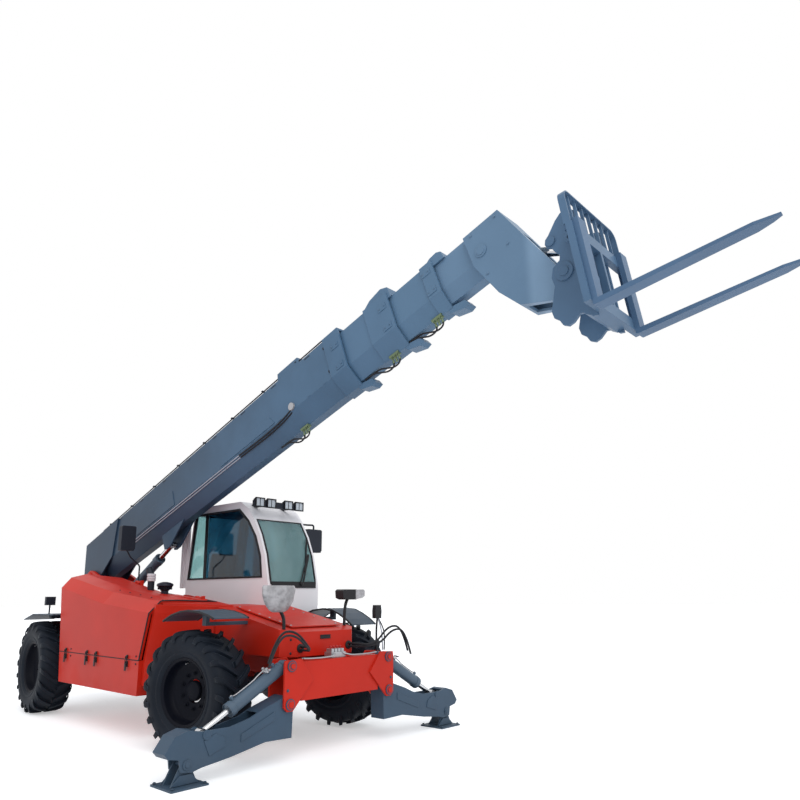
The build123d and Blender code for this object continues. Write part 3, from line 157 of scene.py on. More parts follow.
# edge mask: a mask along every sharp edge, and the normal of a softly rounded one; the finishes colour it as rubbed
# wear on some and as a painted highlight on others
edge_tree, edge_in, edge_out = group("rubbed_edges", [("Radius", 0.004), ("Scale", 9.0)],
                                     [("Mask", "NodeSocketFloat"), ("Normal", "NodeSocketVector")])
rounder = edge_tree.nodes.new("ShaderNodeBevel")
rounder.samples = 4
edge_tree.links.new(edge_in.outputs["Radius"], rounder.inputs["Radius"])
flat = edge_tree.nodes.new("ShaderNodeNewGeometry")
agreement = edge_tree.nodes.new("ShaderNodeVectorMath")
agreement.operation = "DOT_PRODUCT"
edge_tree.links.new(rounder.outputs[0], agreement.inputs[0])
edge_tree.links.new(flat.outputs["Normal"], agreement.inputs[1])
edge = stepped(edge_tree, arithmetic(edge_tree, "SUBTRACT", 1.0, agreement.outputs["Value"]), 0.03, 0.3)
broken = stepped(edge_tree, noise(edge_tree, edge_in.outputs["Scale"], 6.0, 0.7), 0.42, 0.66)
edge_tree.links.new(arithmetic(edge_tree, "MULTIPLY", edge, broken), edge_out.inputs["Mask"])
edge_tree.links.new(rounder.outputs[0], edge_out.inputs["Normal"])

# road dust: settles on upward faces and splashes over the lowest metre
dust_tree, dust_in, dust_out = group("road_dust", [("Low", 0.9), ("Ledges", 0.5)], [("Mask", "NodeSocketFloat")])
spot_axes = dust_tree.nodes.new("ShaderNodeSeparateXYZ")
dust_tree.links.new(place_on_piece(dust_tree), spot_axes.inputs[0])
depth_below = arithmetic(dust_tree, "SUBTRACT", dust_in.outputs["Low"], spot_axes.outputs["Z"])
lowness = stepped(dust_tree, depth_below, 0.0, 0.9)
upward = dust_tree.nodes.new("ShaderNodeSeparateXYZ")
dust_face = dust_tree.nodes.new("ShaderNodeNewGeometry")
dust_tree.links.new(dust_face.outputs["Normal"], upward.inputs[0])
ledge = arithmetic(dust_tree, "MULTIPLY", stepped(dust_tree, upward.outputs["Z"], 0.5, 1.0),
                   dust_in.outputs["Ledges"])
patchy = stepped(dust_tree, noise(dust_tree, 3.2, 8.0, 0.65), 0.35, 0.75)
settled = arithmetic(dust_tree, "MULTIPLY", arithmetic(dust_tree, "ADD", lowness, ledge), patchy)
dust_tree.links.new(settled, dust_out.inputs["Mask"])

# drift: slow changes of tone over a panel, and fine ripple for bump
drift_tree, drift_in, drift_out = group("drift", [("Slow", 1.3), ("Fine", 260.0)],
                                        [("Tone", "NodeSocketFloat"), ("Ripple", "NodeSocketFloat")])
slow_tone = stepped(drift_tree, noise(drift_tree, drift_in.outputs["Slow"], 3.0), 0.3, 0.7)
drift_tree.links.new(slow_tone, drift_out.inputs["Tone"])
drift_tree.links.new(noise(drift_tree, drift_in.outputs["Fine"], 2.0), drift_out.inputs["Ripple"])


def placed(tree, kind, **values):
    node = tree.nodes.new("ShaderNodeGroup")
    node.node_tree = kind
    for label, value in values.items():
        node.inputs[label.title()].default_value = value
    return node


def finish(name, colour, roughness, tone=0.12, edge_wear_and_highlight=(0.5, 0.5, 0.52), edge_wear_and_highlight_share=0.5, radius=0.004, dust=0.35,
           ledges=0.3, low=0.9, ripple=0.06, fine=260.0, slow=1.3, metallic=0.0, coat=0.0, shine=0.28,
           along=None, axis="X", depth=0.002):
    """An opaque finish: drifting tone, edges coloured as rubbed wear on some finishes and as a painted highlight on
    others, dust and a fine ripple in its normal.

    along: (colour, from, to), a colour blended in between two stations along the axis; the boom uses it for painted
    light and shade along its length."""
    material = bpy.data.materials.new(name)
    material.use_nodes = True
    tree = material.node_tree
    shader = tree.nodes["Principled BSDF"]
    drift = placed(tree, drift_tree, slow=slow, fine=fine)
    edges = placed(tree, edge_tree, radius=radius)
    dirt = placed(tree, dust_tree, ledges=ledges, low=low)
    base = (*colour, 1)
    # painted light: the colour ramps to another colour between two stations along an axis
    if along:
        axes = tree.nodes.new("ShaderNodeSeparateXYZ")
        tree.links.new(place_on_piece(tree), axes.inputs[0])
        base = blended(tree, stepped(tree, axes.outputs[axis], along[1], along[2]), base, (*along[0], 1))
    shade = blended(tree, drift.outputs["Tone"], (1 - tone, 1 - tone, 1 - tone, 1), (1, 1, 1, 1))
    base = blended(tree, 1.0, base, shade, "MULTIPLY")
    # edge colour along the edge mask: rubbed wear on some finishes, a painted highlight on the red enamel and the tyres
    base = blended(tree, arithmetic(tree, "MULTIPLY", edges.outputs["Mask"], edge_wear_and_highlight_share), base, (*edge_wear_and_highlight, 1))
    base = blended(tree, arithmetic(tree, "MULTIPLY", dirt.outputs["Mask"], dust), base, DUST)
    tree.links.new(base, shader.inputs["Base Color"])
    worn = arithmetic(tree, "MULTIPLY_ADD", dirt.outputs["Mask"], 0.35, roughness)
    rough = arithmetic(tree, "MULTIPLY_ADD", drift.outputs["Ripple"], 0.08, worn)
    tree.links.new(rough, shader.inputs["Roughness"])
    bump = tree.nodes.new("ShaderNodeBump")
    bump.inputs["Strength"].default_value = ripple
    bump.inputs["Distance"].default_value = depth
    tree.links.new(drift.outputs["Ripple"], bump.inputs["Height"])
    tree.links.new(edges.outputs["Normal"], bump.inputs["Normal"])
    tree.links.new(bump.outputs["Normal"], shader.inputs["Normal"])
    shader.inputs["Metallic"].default_value = metallic
    shader.inputs["Specular IOR Level"].default_value = shine
    shader.inputs["Coat Weight"].default_value = coat
    shader.inputs["Coat Roughness"].default_value = 0.12
    return material


def pipe(name, points, radius, material, body, smooth=True, closed=False):
    """A round pipe, hose or cable along points, its radius in millimetres, with rounded bends; or a closed seal."""
    curve = bpy.data.curves.new(name, "CURVE")
    curve.dimensions = "3D"
    curve.resolution_u = 16
    curve.bevel_depth = radius / 1000
    curve.bevel_resolution = 4
    curve.use_fill_caps = True
    spline = curve.splines.new("NURBS" if smooth else "POLY")
    spline.points.add(len(points) - 1)
    for point, place in zip(spline.points, points):
        point.co = (*place, 1)
    if smooth:
        spline.order_u = 3
        spline.use_endpoint_u = True
    curve.materials.append(material)
    piece = bpy.data.objects.new(name, curve)
    scene.collection.objects.link(piece)
    if closed:
        spline.use_cyclic_u = True
        mesh = bpy.data.meshes.new_from_object(piece.evaluated_get(bpy.context.evaluated_depsgraph_get()))
        bpy.data.objects.remove(piece)
        piece = bpy.data.objects.new(name, mesh)
        scene.collection.objects.link(piece)
    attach(piece, body)
    return piece


hose_rubber = finish("hose_rubber", (0.016, 0.016, 0.020), 0.6, edge_wear_and_highlight=(0.05, 0.05, 0.055), ripple=0.25, fine=420)
HOSE_R = 11
for hand, side in (("right", -1), ("left", 1)):
    for number, spread, drop in ((1, 0, 0), (2, 30, 34)):
        route = [at(780, side * 330, 1000 - drop), at(890, side * 330, 1000 - drop),
                 at(1068 + spread, side * (440 + drop), 985), at(1076 + spread, side * (640 + drop), 1180 - drop),
                 at(1080 + spread, side * (860 + drop / 2), 1160 - drop),
                 at(1080 + spread, side * (950 + drop / 2), 900 - drop)]
        hose = pipe(f"hose_{hand}_{number}", route, HOSE_R, hose_rubber, "chassis")
        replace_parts(hose, "stabiliser_hoses")


# ------------------------------------------------------------------ yard and daylight
# A plain pale floor under an even white sky, with one wide soft lamp from above.
# Glossy and glass surfaces see the same white sky that the camera does.
def seen_directly(tree):
    """1 for camera, glossy and transmission rays, 0 for the light that falls on things."""
    path = tree.nodes.new("ShaderNodeLightPath")
    value = path.outputs["Is Camera Ray"]
    for other in ("Is Glossy Ray", "Is Transmission Ray"):
        value = arithmetic(tree, "MAXIMUM", value, path.outputs[other])
    return value


SKY_STRENGTH, SUN_STRENGTH, FLOOR_GLOW = 0.76, 1.35, 0.40
FLOOR_RADIUS = 90
world = bpy.data.worlds.new("sky")
scene.world = world
world.use_nodes = True
sky = world.node_tree
sky.nodes.clear()
sky_out = sky.nodes.new("ShaderNodeOutputWorld")
sky_mix = sky.nodes.new("ShaderNodeMixShader")
sky_light = sky.nodes.new("ShaderNodeBackground")
sky_light.inputs["Color"].default_value = (0.92, 0.96, 1.0, 1)
sky_light.inputs["Strength"].default_value = SKY_STRENGTH
sky_white = sky.nodes.new("ShaderNodeBackground")
sky_white.inputs["Color"].default_value = (1, 1, 1, 1)
sky_white.inputs["Strength"].default_value = 1.0
sky.links.new(seen_directly(sky), sky_mix.inputs["Fac"])
sky.links.new(sky_light.outputs[0], sky_mix.inputs[1])
sky.links.new(sky_white.outputs[0], sky_mix.inputs[2])
sky.links.new(sky_mix.outputs[0], sky_out.inputs["Surface"])

lamp = bpy.data.objects.new("daylight", bpy.data.lights.new("daylight", "SUN"))
lamp.data.energy = SUN_STRENGTH
lamp.data.angle = math.radians(50)
lamp.data.color = (1.0, 0.98, 0.95)
lamp.rotation_mode = "QUATERNION"
lamp.rotation_quaternion = Vector((-0.72, 0.36, -0.9)).to_track_quat("-Z", "Y")
scene.collection.objects.link(lamp)

floor_mesh = bpy.data.meshes.new("floor")
floor_maker = bmesh.new()
bmesh.ops.create_circle(floor_maker, cap_ends=True, segments=96, radius=FLOOR_RADIUS)
floor_maker.to_mesh(floor_mesh)
floor_maker.free()
floor = bpy.data.objects.new("floor", floor_mesh)
scene.collection.objects.link(floor)
concrete = bpy.data.materials.new("pale_floor")
concrete.use_nodes = True
ground = concrete.node_tree
ground_diffuse = ground.nodes["Principled BSDF"]
ground_diffuse.inputs["Base Color"].default_value = (0.84, 0.85, 0.87, 1)
ground_diffuse.inputs["Roughness"].default_value = 0.9
ground_glow = ground.nodes.new("ShaderNodeEmission")
ground_glow.inputs["Strength"].default_value = FLOOR_GLOW
ground_add = ground.nodes.new("ShaderNodeAddShader")
ground_mix = ground.nodes.new("ShaderNodeMixShader")
ground.links.new(seen_directly(ground), ground_mix.inputs["Fac"])
ground.links.new(ground_diffuse.outputs[0], ground_mix.inputs[1])
ground.links.new(ground_diffuse.outputs[0], ground_add.inputs[0])
ground.links.new(ground_glow.outputs[0], ground_add.inputs[1])
ground.links.new(ground_add.outputs[0], ground_mix.inputs[2])
ground.links.new(ground_mix.outputs[0], ground.nodes["Material Output"].inputs["Surface"])
floor_mesh.materials.append(concrete)


# ------------------------------------------------------------------ chassis frame
# Two 40 mm side plates with cross members between them, welded and enamelled red. The boom's
# pivot pin is held by a keeper plate each side; hoses and a brake line run along the plates.
def from_side(x, z, y):
    return at(x, y, z)


def from_front(y, z, x):
    return at(x, y, z)


def from_above(x, y, z):
    return at(x, y, z)


def plate(maker, outline, low, high, spot):
    """Adds a plate: a flat outline between two depths, put in its place by spot."""
    near = [maker.verts.new(spot(a, b, low)) for a, b in outline]
    far = [maker.verts.new(spot(a, b, high)) for a, b in outline]
    maker.faces.new(near[::-1])
    maker.faces.new(far)
    for i in range(len(outline)):
        j = (i + 1) % len(outline)
        maker.faces.new((near[i], near[j], far[j], far[i]))


def box(maker, x, y, z, spot=from_above):
    plate(maker, [(x[0], y[0]), (x[1], y[0]), (x[1], y[1]), (x[0], y[1])], z[0], z[1], spot)


def turned(maker, profile, centre, axis, segments=32, ring=False):
    """Adds a body of revolution from (radius, along) points in millimetres; a ring's profile is a closed loop."""
    axis = Vector(axis).normalized()
    across = axis.orthogonal().normalized()
    other = axis.cross(across)
    rounds = []
    for radius, along in profile:
        middle = centre + axis * (along / 1000)
        if radius == 0:
            rounds.append([maker.verts.new(middle)] * segments)
            continue
        rounds.append([maker.verts.new(middle + (across * math.cos(turn) + other * math.sin(turn)) * (radius / 1000))
                       for turn in (2 * math.pi * i / segments for i in range(segments))])
    for a, b in zip(rounds, rounds[1:] + rounds[:1] if ring else rounds[1:]):
        for i in range(segments):
            j = (i + 1) % segments
            corners = []
            for vertex in (a[i], a[j], b[j], b[i]):
                if vertex not in corners:
                    corners.append(vertex)
            if len(corners) > 2:
                maker.faces.new(corners)


def bar(maker, start, end, radius, segments=16):
    length = (end - start).length * 1000
    turned(maker, [(0, 0), (radius, 0), (radius, length), (0, length)], start, end - start, segments)


def softened(maker, width, steps=2):
    """Rounds every sharp edge a little."""
    edges = [edge for edge in maker.edges if len(edge.link_faces) == 2 and edge.calc_face_angle(0) > 0.5]
    bmesh.ops.bevel(maker, geom=edges, offset=width / 1000, segments=steps, affect="EDGES", profile=0.6,
                    clamp_overlap=True)


def finished(name, maker, material, body, smooth=35):
    """Turns what was made into a piece that rides on a body."""
    bmesh.ops.recalc_face_normals(maker, faces=maker.faces[:])
    mesh = bpy.data.meshes.new(name)
    maker.to_mesh(mesh)
    maker.free()
    mesh.polygons.foreach_set("use_smooth", [True] * len(mesh.polygons))
    mesh.set_sharp_from_angle(angle=math.radians(smooth))
    mesh.materials.append(material)
    piece = bpy.data.objects.new(name, mesh)
    scene.collection.objects.link(piece)
    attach(piece, body)
    return piece


def dress(material, *names):
    """Gives CAD nodes their finish."""
    for name in names:
        nodes[name].data.materials.clear()
        nodes[name].data.materials.append(material)


def repeat_tree(name, sockets, rotation=False):
    """A Geometry Nodes tree that sets the piece's own mesh on points, in a ring or in a row."""
    tree = bpy.data.node_groups.new(name, "GeometryNodeTree")
    for label, kind in (("Geometry", "NodeSocketGeometry"), *sockets, ("Finish", "NodeSocketMaterial")):
        tree.interface.new_socket(label, in_out="INPUT", socket_type=kind)
    tree.interface.new_socket("Geometry", in_out="OUTPUT", socket_type="NodeSocketGeometry")
    start, end = tree.nodes.new("NodeGroupInput"), tree.nodes.new("NodeGroupOutput")
    setter = tree.nodes.new("GeometryNodeInstanceOnPoints")
    realise = tree.nodes.new("GeometryNodeRealizeInstances")
    painter = tree.nodes.new("GeometryNodeSetMaterial")
    tree.links.new(start.outputs["Geometry"], setter.inputs["Instance"])
    if rotation:
        points = tree.nodes.new("GeometryNodePoints")
        index = tree.nodes.new("GeometryNodeInputIndex")
        turn = tree.nodes.new("FunctionNodeAxisAngleToRotation")
        step = arithmetic(tree, "DIVIDE", 2 * math.pi, start.outputs["Count"])
        tree.links.new(start.outputs["Count"], points.inputs["Count"])
        tree.links.new(start.outputs["Centre"], points.inputs["Position"])
        tree.links.new(start.outputs["Axis"], turn.inputs["Axis"])
        tree.links.new(arithmetic(tree, "MULTIPLY", step, index.outputs[0]), turn.inputs["Angle"])
        tree.links.new(turn.outputs[0], setter.inputs["Rotation"])
        tree.links.new(points.outputs[0], setter.inputs["Points"])
    else:
        line = tree.nodes.new("GeometryNodeMeshLine")
        tree.links.new(start.outputs["Count"], line.inputs["Count"])
        tree.links.new(start.outputs["Start"], line.inputs["Start Location"])
        tree.links.new(start.outputs["Step"], line.inputs["Offset"])
        tree.links.new(line.outputs[0], setter.inputs["Points"])
    tree.links.new(setter.outputs[0], realise.inputs[0])
    tree.links.new(realise.outputs[0], painter.inputs[0])
    tree.links.new(start.outputs["Finish"], painter.inputs["Material"])
    tree.links.new(painter.outputs[0], end.inputs[0])
    return tree


ring_tree = repeat_tree("in_a_ring", (("Count", "NodeSocketInt"), ("Centre", "NodeSocketVector"),
                                      ("Axis", "NodeSocketVector")), rotation=True)
row_tree = repeat_tree("in_a_row", (("Count", "NodeSocketInt"), ("Start", "NodeSocketVector"),
                                    ("Step", "NodeSocketVector")))


def repeated(maker, unit, tree, material, **inputs):
    """Adds what a tree makes of one small shape, drawn about the origin, to a mesh being made."""
    mesh = bpy.data.meshes.new("unit")
    bmesh.ops.recalc_face_normals(unit, faces=unit.faces[:])
    unit.to_mesh(mesh)
    unit.free()
    carrier = bpy.data.objects.new("unit", mesh)
    scene.collection.objects.link(carrier)
    modifier = carrier.modifiers.new("repeat", "NODES")
    modifier.node_group = tree
    labels = {item.name: item.identifier for item in tree.interface.items_tree if item.in_out == "INPUT"}
    for label, value in {**inputs, "Finish": material}.items():
        modifier[labels[label]] = tuple(value) if isinstance(value, Vector) else value
    evaluated = carrier.evaluated_get(bpy.context.evaluated_depsgraph_get())
    made = bpy.data.meshes.new_from_object(evaluated)
    maker.from_mesh(made)
    bpy.data.objects.remove(carrier)
    bpy.data.meshes.remove(made)


def bolt(axis, across=12, height=9):
    """One hexagon bolt head about the origin, on a washer, pointing along axis."""
    unit = bmesh.new()
    turned(unit, [(0, 0), (across * 1.35, 0), (across * 1.35, 2.5), (0, 2.5)], Vector(), axis, 14)
    turned(unit, [(0, 2), (across, 2), (across, height), (across * 0.8, height + 1.5), (0, height + 1.5)], Vector(),
           axis, 6)
    return unit


def bolted(maker, spot, material, *shape):
    """Adds one bolt head at a spot, of the shape that bolt takes."""
    repeated(maker, bolt(*shape), row_tree, material, Count=1, Start=spot, Step=Vector())


# red enamel; its brighter orange edge colour is a painted highlight along the edges
red = finish("red_enamel", (0.56, 0.020, 0.008), 0.36, tone=0.12, shine=0.2, dust=0.03, ledges=0.2,
             edge_wear_and_highlight=(0.72, 0.13, 0.06),
             edge_wear_and_highlight_share=0.6)
dress(red, "nose_body", "hood_base", "hood_lid", "cab_sill", "stabiliser_beam", "chassis_frame")
zinc = finish("zinc_plate", (0.42, 0.42, 0.44), 0.38, metallic=0.85, shine=0.5, dust=0.2, ripple=0.1)
dark = finish("dark_steel", (0.011, 0.015, 0.026), 0.5, edge_wear_and_highlight=(0.13, 0.15, 0.18), dust=0.15)
PIVOT_X, PIVOT_Z = -4150, 1750
frame_plates = bmesh.new()
for side in (-1, 1):
    y0, y1 = side * 275, side * 289
    plate(frame_plates, [(PIVOT_X - 95, PIVOT_Z - 260), (PIVOT_X + 60, PIVOT_Z - 280), (PIVOT_X + 105, PIVOT_Z - 30),
                         (PIVOT_X + 60, PIVOT_Z + 62), (PIVOT_X, PIVOT_Z + 92), (PIVOT_X - 70, PIVOT_Z + 58),
                         (PIVOT_X - 98, PIVOT_Z - 20)], y0, y1, from_side)
    plate(frame_plates, [(-3560, 1180), (-3180, 1180), (-3180, 1290), (-3560, 1400)], y0, y1, from_side)
    box(frame_plates, (-3490, -3380), (y0, y1), (720, 1180))
softened(frame_plates, 3)
finished("frame_doublers", frame_plates, red, "chassis")
keepers = bmesh.new()
for side in (-1, 1):
    box(keepers, (PIVOT_X - 62, PIVOT_X + 62), (side * 291, side * 301), (PIVOT_Z - 34, PIVOT_Z - 8))
    for dx in (-48, 48):
        bolted(keepers, at(PIVOT_X + dx, side * 300, PIVOT_Z - 21), zinc, (0, side, 0))
finished("pin_keepers", keepers, zinc, "chassis")
for number, (y, z) in enumerate(((-150, 600), (-110, 604), (120, 600))):
    pipe(f"frame_line_{number}", [at(-3600, y, z), at(-3000, y, z + 6), at(-2400, y * 0.9, z),
                                  at(-1500, y * 0.9, z + 4),
                                  at(-700, y, z)], 9, hose_rubber, "chassis")


# ------------------------------------------------------------------ axles
# Cast and welded axle beams with a bolted differential, steering knuckles and a steering ram.
# Dark enamel.
dress(dark, "front_axle", "rear_axle", "tow_hitch", *[f"knuckle_{end}_{hand}" for end in ("front", "rear")
                                                      for hand in ("right", "left")])
REAR_AXLE_X = -3625
HUB_Z = 585
for end, x in (("front", 0), ("rear", REAR_AXLE_X)):
    axle = bmesh.new()
    for side in (-1, 1):
        bolted(axle, at(x + side * 188, 0, HUB_Z), dark, (side, 0, 0), 9, 8)
        turned(axle, [(0, 0), (118, 0), (122, 8), (118, 16), (60, 26), (0, 26)], at(x + side * 172, 0, HUB_Z),
               (side, 0, 0), 28)
    ram_side = 1 if end == "rear" else -1
    bar(axle, at(x + ram_side * 150, -420, HUB_Z + 20), at(x + ram_side * 150, 420, HUB_Z + 20), 34, 20)
    for side in (-1, 1):
        bar(axle, at(x + ram_side * 150, side * 420, HUB_Z + 20), at(x + ram_side * 150, side * 520, HUB_Z + 20), 16,
            14)
    finished(f"axle_fittings_{end}", axle, dark, "chassis")


# ------------------------------------------------------------------ wheels
# Industrial tyres: a moulded carcass with rings on its sidewalls and twenty deep lugs a side,
# set in a chevron. Each stands on a dished steel rim, held by ten nuts round a hub cap.
TYRE_R, LUGS, NUTS = 585, 20, 10
SIDE_SHIFT = 88             # by how much one side's lugs lead the other's, round the tread
# tyre rubber; its pale blue edge colour is a painted highlight along the lugs' edges
rubber = finish("tyre_rubber", (0.006, 0.010, 0.018), 0.6, tone=0.25, edge_wear_and_highlight=(0.085, 0.110, 0.145), edge_wear_and_highlight_share=0.6,
                radius=0.007, dust=0.06, ledges=0.1, low=0.35, ripple=0.35, fine=160, slow=3.5, shine=0.18)
navy = finish("rim_enamel", (0.002, 0.003, 0.008), 0.5, tone=0.2, edge_wear_and_highlight=(0.10, 0.12, 0.15), edge_wear_and_highlight_share=0.3, dust=0.02,
              shine=0.12)
sidewall = [(308, 150), (322, 164), (334, 180), (352, 187), (360, 193), (372, 194), (378, 190), (405, 197), (412, 201),
            (440, 203), (470, 201), (500, 196), (522, 184), (538, 160), (545, 120), (548, 60)]
lug_stations = [(204, 462, 480, 30, 24, 0), (203, 490, 516, 30, 23, 6), (199, 512, 545, 29, 22, 16),
                (186, 530, 570, 28, 21, 32), (164, 536, 580, 27, 20, 52), (110, 540, 583.5, 26, 19, 98),
                (52, 542, 584.5, 27, 20, 142), (6, 543, 584.5, 30, 22, 172)]
for joint in frame["joints"]:
    if "_wheel_" not in joint["name"]:
        continue
    wheel_body = joint["child"]
    place = joint["name"].replace("_wheel", "")
    centre = Vector(joint["pos_m"])
    axle_line = Vector(joint["axis"]).normalized()
    outward = axle_line if centre.y > 0 else -axle_line
    tyre = bmesh.new()
    loop = sidewall + [(r, -w) for r, w in reversed(sidewall)] + [(303, -140), (303, 140)]
    turned(tyre, loop, centre, outward, 96, ring=True)
    # each lug is a skin over stations: across, root and top radius, half widths there, and lag behind the middle
    ahead = Vector((0, 0, 1)).cross(axle_line).normalized()
    for side in (-1, 1):
        lug = bmesh.new()
        rounds = []
        for across, root, top, wide, narrow, lag in lug_stations:
            ring = []
            for radius, shift in ((root, -wide), (top - 3, -narrow - 3), (top, -narrow), (top, narrow),
                                  (top - 3, narrow + 3), (root, wide)):
                angle = (shift + lag + (SIDE_SHIFT if side > 0 else 0)) / TYRE_R
                spoke = Vector((0, 0, 1)) * math.cos(angle) - ahead * math.sin(angle)
                ring.append(lug.verts.new(axle_line * (side * across / 1000) + spoke * (radius / 1000)))
            rounds.append(ring)
        for a, b in zip(rounds, rounds[1:]):
            for i in range(6):
                j = (i + 1) % 6
                lug.faces.new((a[i], a[j], b[j], b[i]))
        lug.faces.new(rounds[0][::-1])
        lug.faces.new(rounds[-1])
        repeated(tyre, lug, ring_tree, rubber, Count=LUGS, Centre=centre, Axis=axle_line)
    piece = finished("tread_" + place, tyre, rubber, wheel_body, 32)
    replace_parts(piece, "tyre_" + place)

    rim = bmesh.new()
    turned(rim, [(296, -168), (326, -170), (328, -160), (306, -156), (306, 156), (328, 160), (327, 171), (318, 173),
                 (308, 168), (296, 160), (288, 120), (282, 84), (268, 66), (232, 52), (210, 36), (186, 30), (120, 26),
                 (112, 30), (108, 12), (112, -6), (200, 12), (236, 28), (272, 40), (288, 20), (290, -120)],
           centre, outward, 72, ring=True)
    bolted(rim, centre + outward * 0.030, navy, outward, 15, 22)
    nut = bmesh.new()
    seat = Vector((0, 0, 0.165))
    turned(nut, [(0, 30), (21, 30), (21, 34), (14, 37), (14, 52), (8, 54), (8, 60), (0, 60)], seat, outward, 6)
    repeated(rim, nut, ring_tree, navy, Count=NUTS, Centre=centre, Axis=axle_line)
    turned(rim, [(0, 10), (96, 10), (98, 40), (90, 56), (60, 74), (0, 78)], centre, outward, 40)
    piece = finished("wheel_" + place, rim, navy, wheel_body, 30)
    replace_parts(piece, "rim_" + place)
    stem = bmesh.new()
    bar(stem, centre + outward * 0.09 + Vector((0, 0, 0.285)), centre + outward * 0.155 + Vector((0, 0, 0.262)), 5, 10)
    finished("valve_" + place, stem, zinc, wheel_body)


# ------------------------------------------------------------------ stabilisers
# A welded beam across the front holds a folding leg each side, pushed down by its own cylinder
# onto a swivelling foot. Slate enamel, bright rods, zinc-plated valves on the barrels.
BEAM_X = 937
slate = finish("slate_enamel", (0.042, 0.078, 0.125), 0.4, tone=0.2, edge_wear_and_highlight=(0.26, 0.32, 0.38), dust=0.08, low=0.6)
barrel_blue = finish("barrel_enamel", (0.070, 0.110, 0.158), 0.36, tone=0.12, edge_wear_and_highlight=(0.36, 0.40, 0.44), dust=0.08)
chrome = finish("chrome_rod", (0.60, 0.61, 0.63), 0.14, tone=0.06, metallic=1.0, dust=0.12, ripple=0.02, edge_wear_and_highlight_share=0.1)
red_knob = finish("knob_red", (0.42, 0.02, 0.02), 0.35, ripple=0.02)
hands = (("right", -1), ("left", 1))
dress(slate, *[f"stabiliser_{part}_{hand}" for part in ("leg", "foot") for hand, _ in hands])
dress(barrel_blue, "lift_barrel", "tilt_barrel", *[f"stabiliser_barrel_{hand}" for hand, _ in hands])
dress(chrome, "lift_rod", "tilt_rod", *[f"stabiliser_rod_{hand}" for hand, _ in hands])
for hand, side in hands:
    beam = bmesh.new()
    for y, z in ((670, 515), (660, 855)):
        for x, way in ((1057, 1), (817, -1)):
            turned(beam, [(0, 0), (52, 0), (52, 9), (34, 11), (32, 16), (0, 17)], at(x, side * y, z), (way, 0, 0), 28)
    bolted(beam, at(1056, side * 700, 640), slate, (1, 0, 0), 11, 9)
    finished(f"beam_bosses_{hand}", beam, slate, "chassis")

    arm = bmesh.new()
    for x0, x1 in ((1030, 1036), (840, 846)):
        plate(arm, [(side * 830, 395), (side * 1180, 268), (side * 1180, 330), (side * 830, 470)], x0, x1, from_front)
        plate(arm, [(side * 1330, 258), (side * 1490, 205), (side * 1545, 330), (side * 1430, 372), (side * 1345, 330)],
              x0, x1, from_front)
    softened(arm, 2)
    for y, z in ((1520, 375), (1690, 170)):
        turned(arm, [(0, 0), (40, 0), (40, 5), (22, 6), (22, 9), (0, 9)], at(1032, side * y, z), (1, 0, 0), 24)
    finished(f"leg_gussets_{hand}", arm, slate, f"stabiliser_leg_{hand}")

    foot = bmesh.new()
    for x in (800, 1076):
        for y in (1545, 1835):
            bolted(foot, at(x, side * y, 22), slate, (0, 0, 1), 11, 8)
    for x in (858, 1010):
        plate(foot, [(side * 1560, 22), (side * 1820, 22), (side * 1740, 95), (side * 1640, 95)], x, x + 8, from_front)
    finished(f"foot_ribs_{hand}", foot, slate, f"stabiliser_foot_{hand}")

    way = Vector((0, side * (1520 - 660), 375 - 855)).normalized()
    up = Vector((0, side * 480, 860)).normalized()
    top = at(BEAM_X, side * 660, 855)
    fittings = bmesh.new()
    for along, radius, width in ((48, 62, 26), (655, 65, 34)):
        turned(fittings, [(60, 0), (radius, 0), (radius, width), (60, width)], top + way * (along / 1000), way, 36,
               ring=True)
    collar = [(0, 0), (17, 0), (17, 30), (10, 34), (0, 34)]
    for along in (110, 610):
        turned(fittings, collar, top + way * (along / 1000) + up * 0.058, up, 16)
    finished(f"ram_collars_{hand}", fittings, barrel_blue, f"stabiliser_barrel_{hand}")
    silver = bmesh.new()
    block = top + way * 0.20 + up * 0.060
    for dx in (-26, 26):
        turned(silver, [(0, 0), (15, 0), (15, 42), (9, 46), (0, 46)], block + Vector((dx / 1000, 0, 0)), up, 6)
    turned(silver, [(0, 0), (27, 0), (30, 4), (30, 22), (24, 27), (0, 27)], block, up, 8)
    bar(silver, block + Vector((0.02, 0, 0)) + up * 0.03, block + Vector((0.075, 0, 0)) + up * 0.03, 9, 6)
    finished(f"ram_valve_{hand}", silver, zinc, f"stabiliser_barrel_{hand}")
    run = [top + way * s + up * h for s, h in ((0.22, 0.09), (0.30, 0.085), (0.34, 0.073), (0.50, 0.073),
                                               (0.585, 0.075),
                                               (0.610, 0.100), (0.610, 0.088))]
    pipe(f"ram_pipe_{hand}", run, 6, zinc, f"stabiliser_barrel_{hand}")

valves = bmesh.new()
box(valves, (880, 985), (-96, 96), (887, 940))
for y in (-66, -22, 22, 66):
    box(valves, (892, 972), (y - 17, y + 17), (940, 972))
softened(valves, 3)
finished("valve_block", valves, zinc, "chassis")
knobs = bmesh.new()
for y in (-66, -22, 22, 66):
    turned(knobs, [(0, 0), (7, 0), (7, 12), (13, 15), (14, 24), (9, 30), (0, 31)], at(932, y, 971), (0, 0, 1), 18)
finished("valve_knobs", knobs, red_knob, "chassis")
for number, (x, lift) in enumerate(((1006, 900), (1026, 903))):
    for side in (-1, 1):
        pipe(f"beam_line_{number}_{'left' if side > 0 else 'right'}",
             [at(x - 30, side * 60, lift + 22), at(x, side * 90, lift + 14), at(x, side * 150, lift),
              at(x, side * 420, lift),
              at(x + 8, side * 500, lift + 10)], 7, zinc, "chassis")


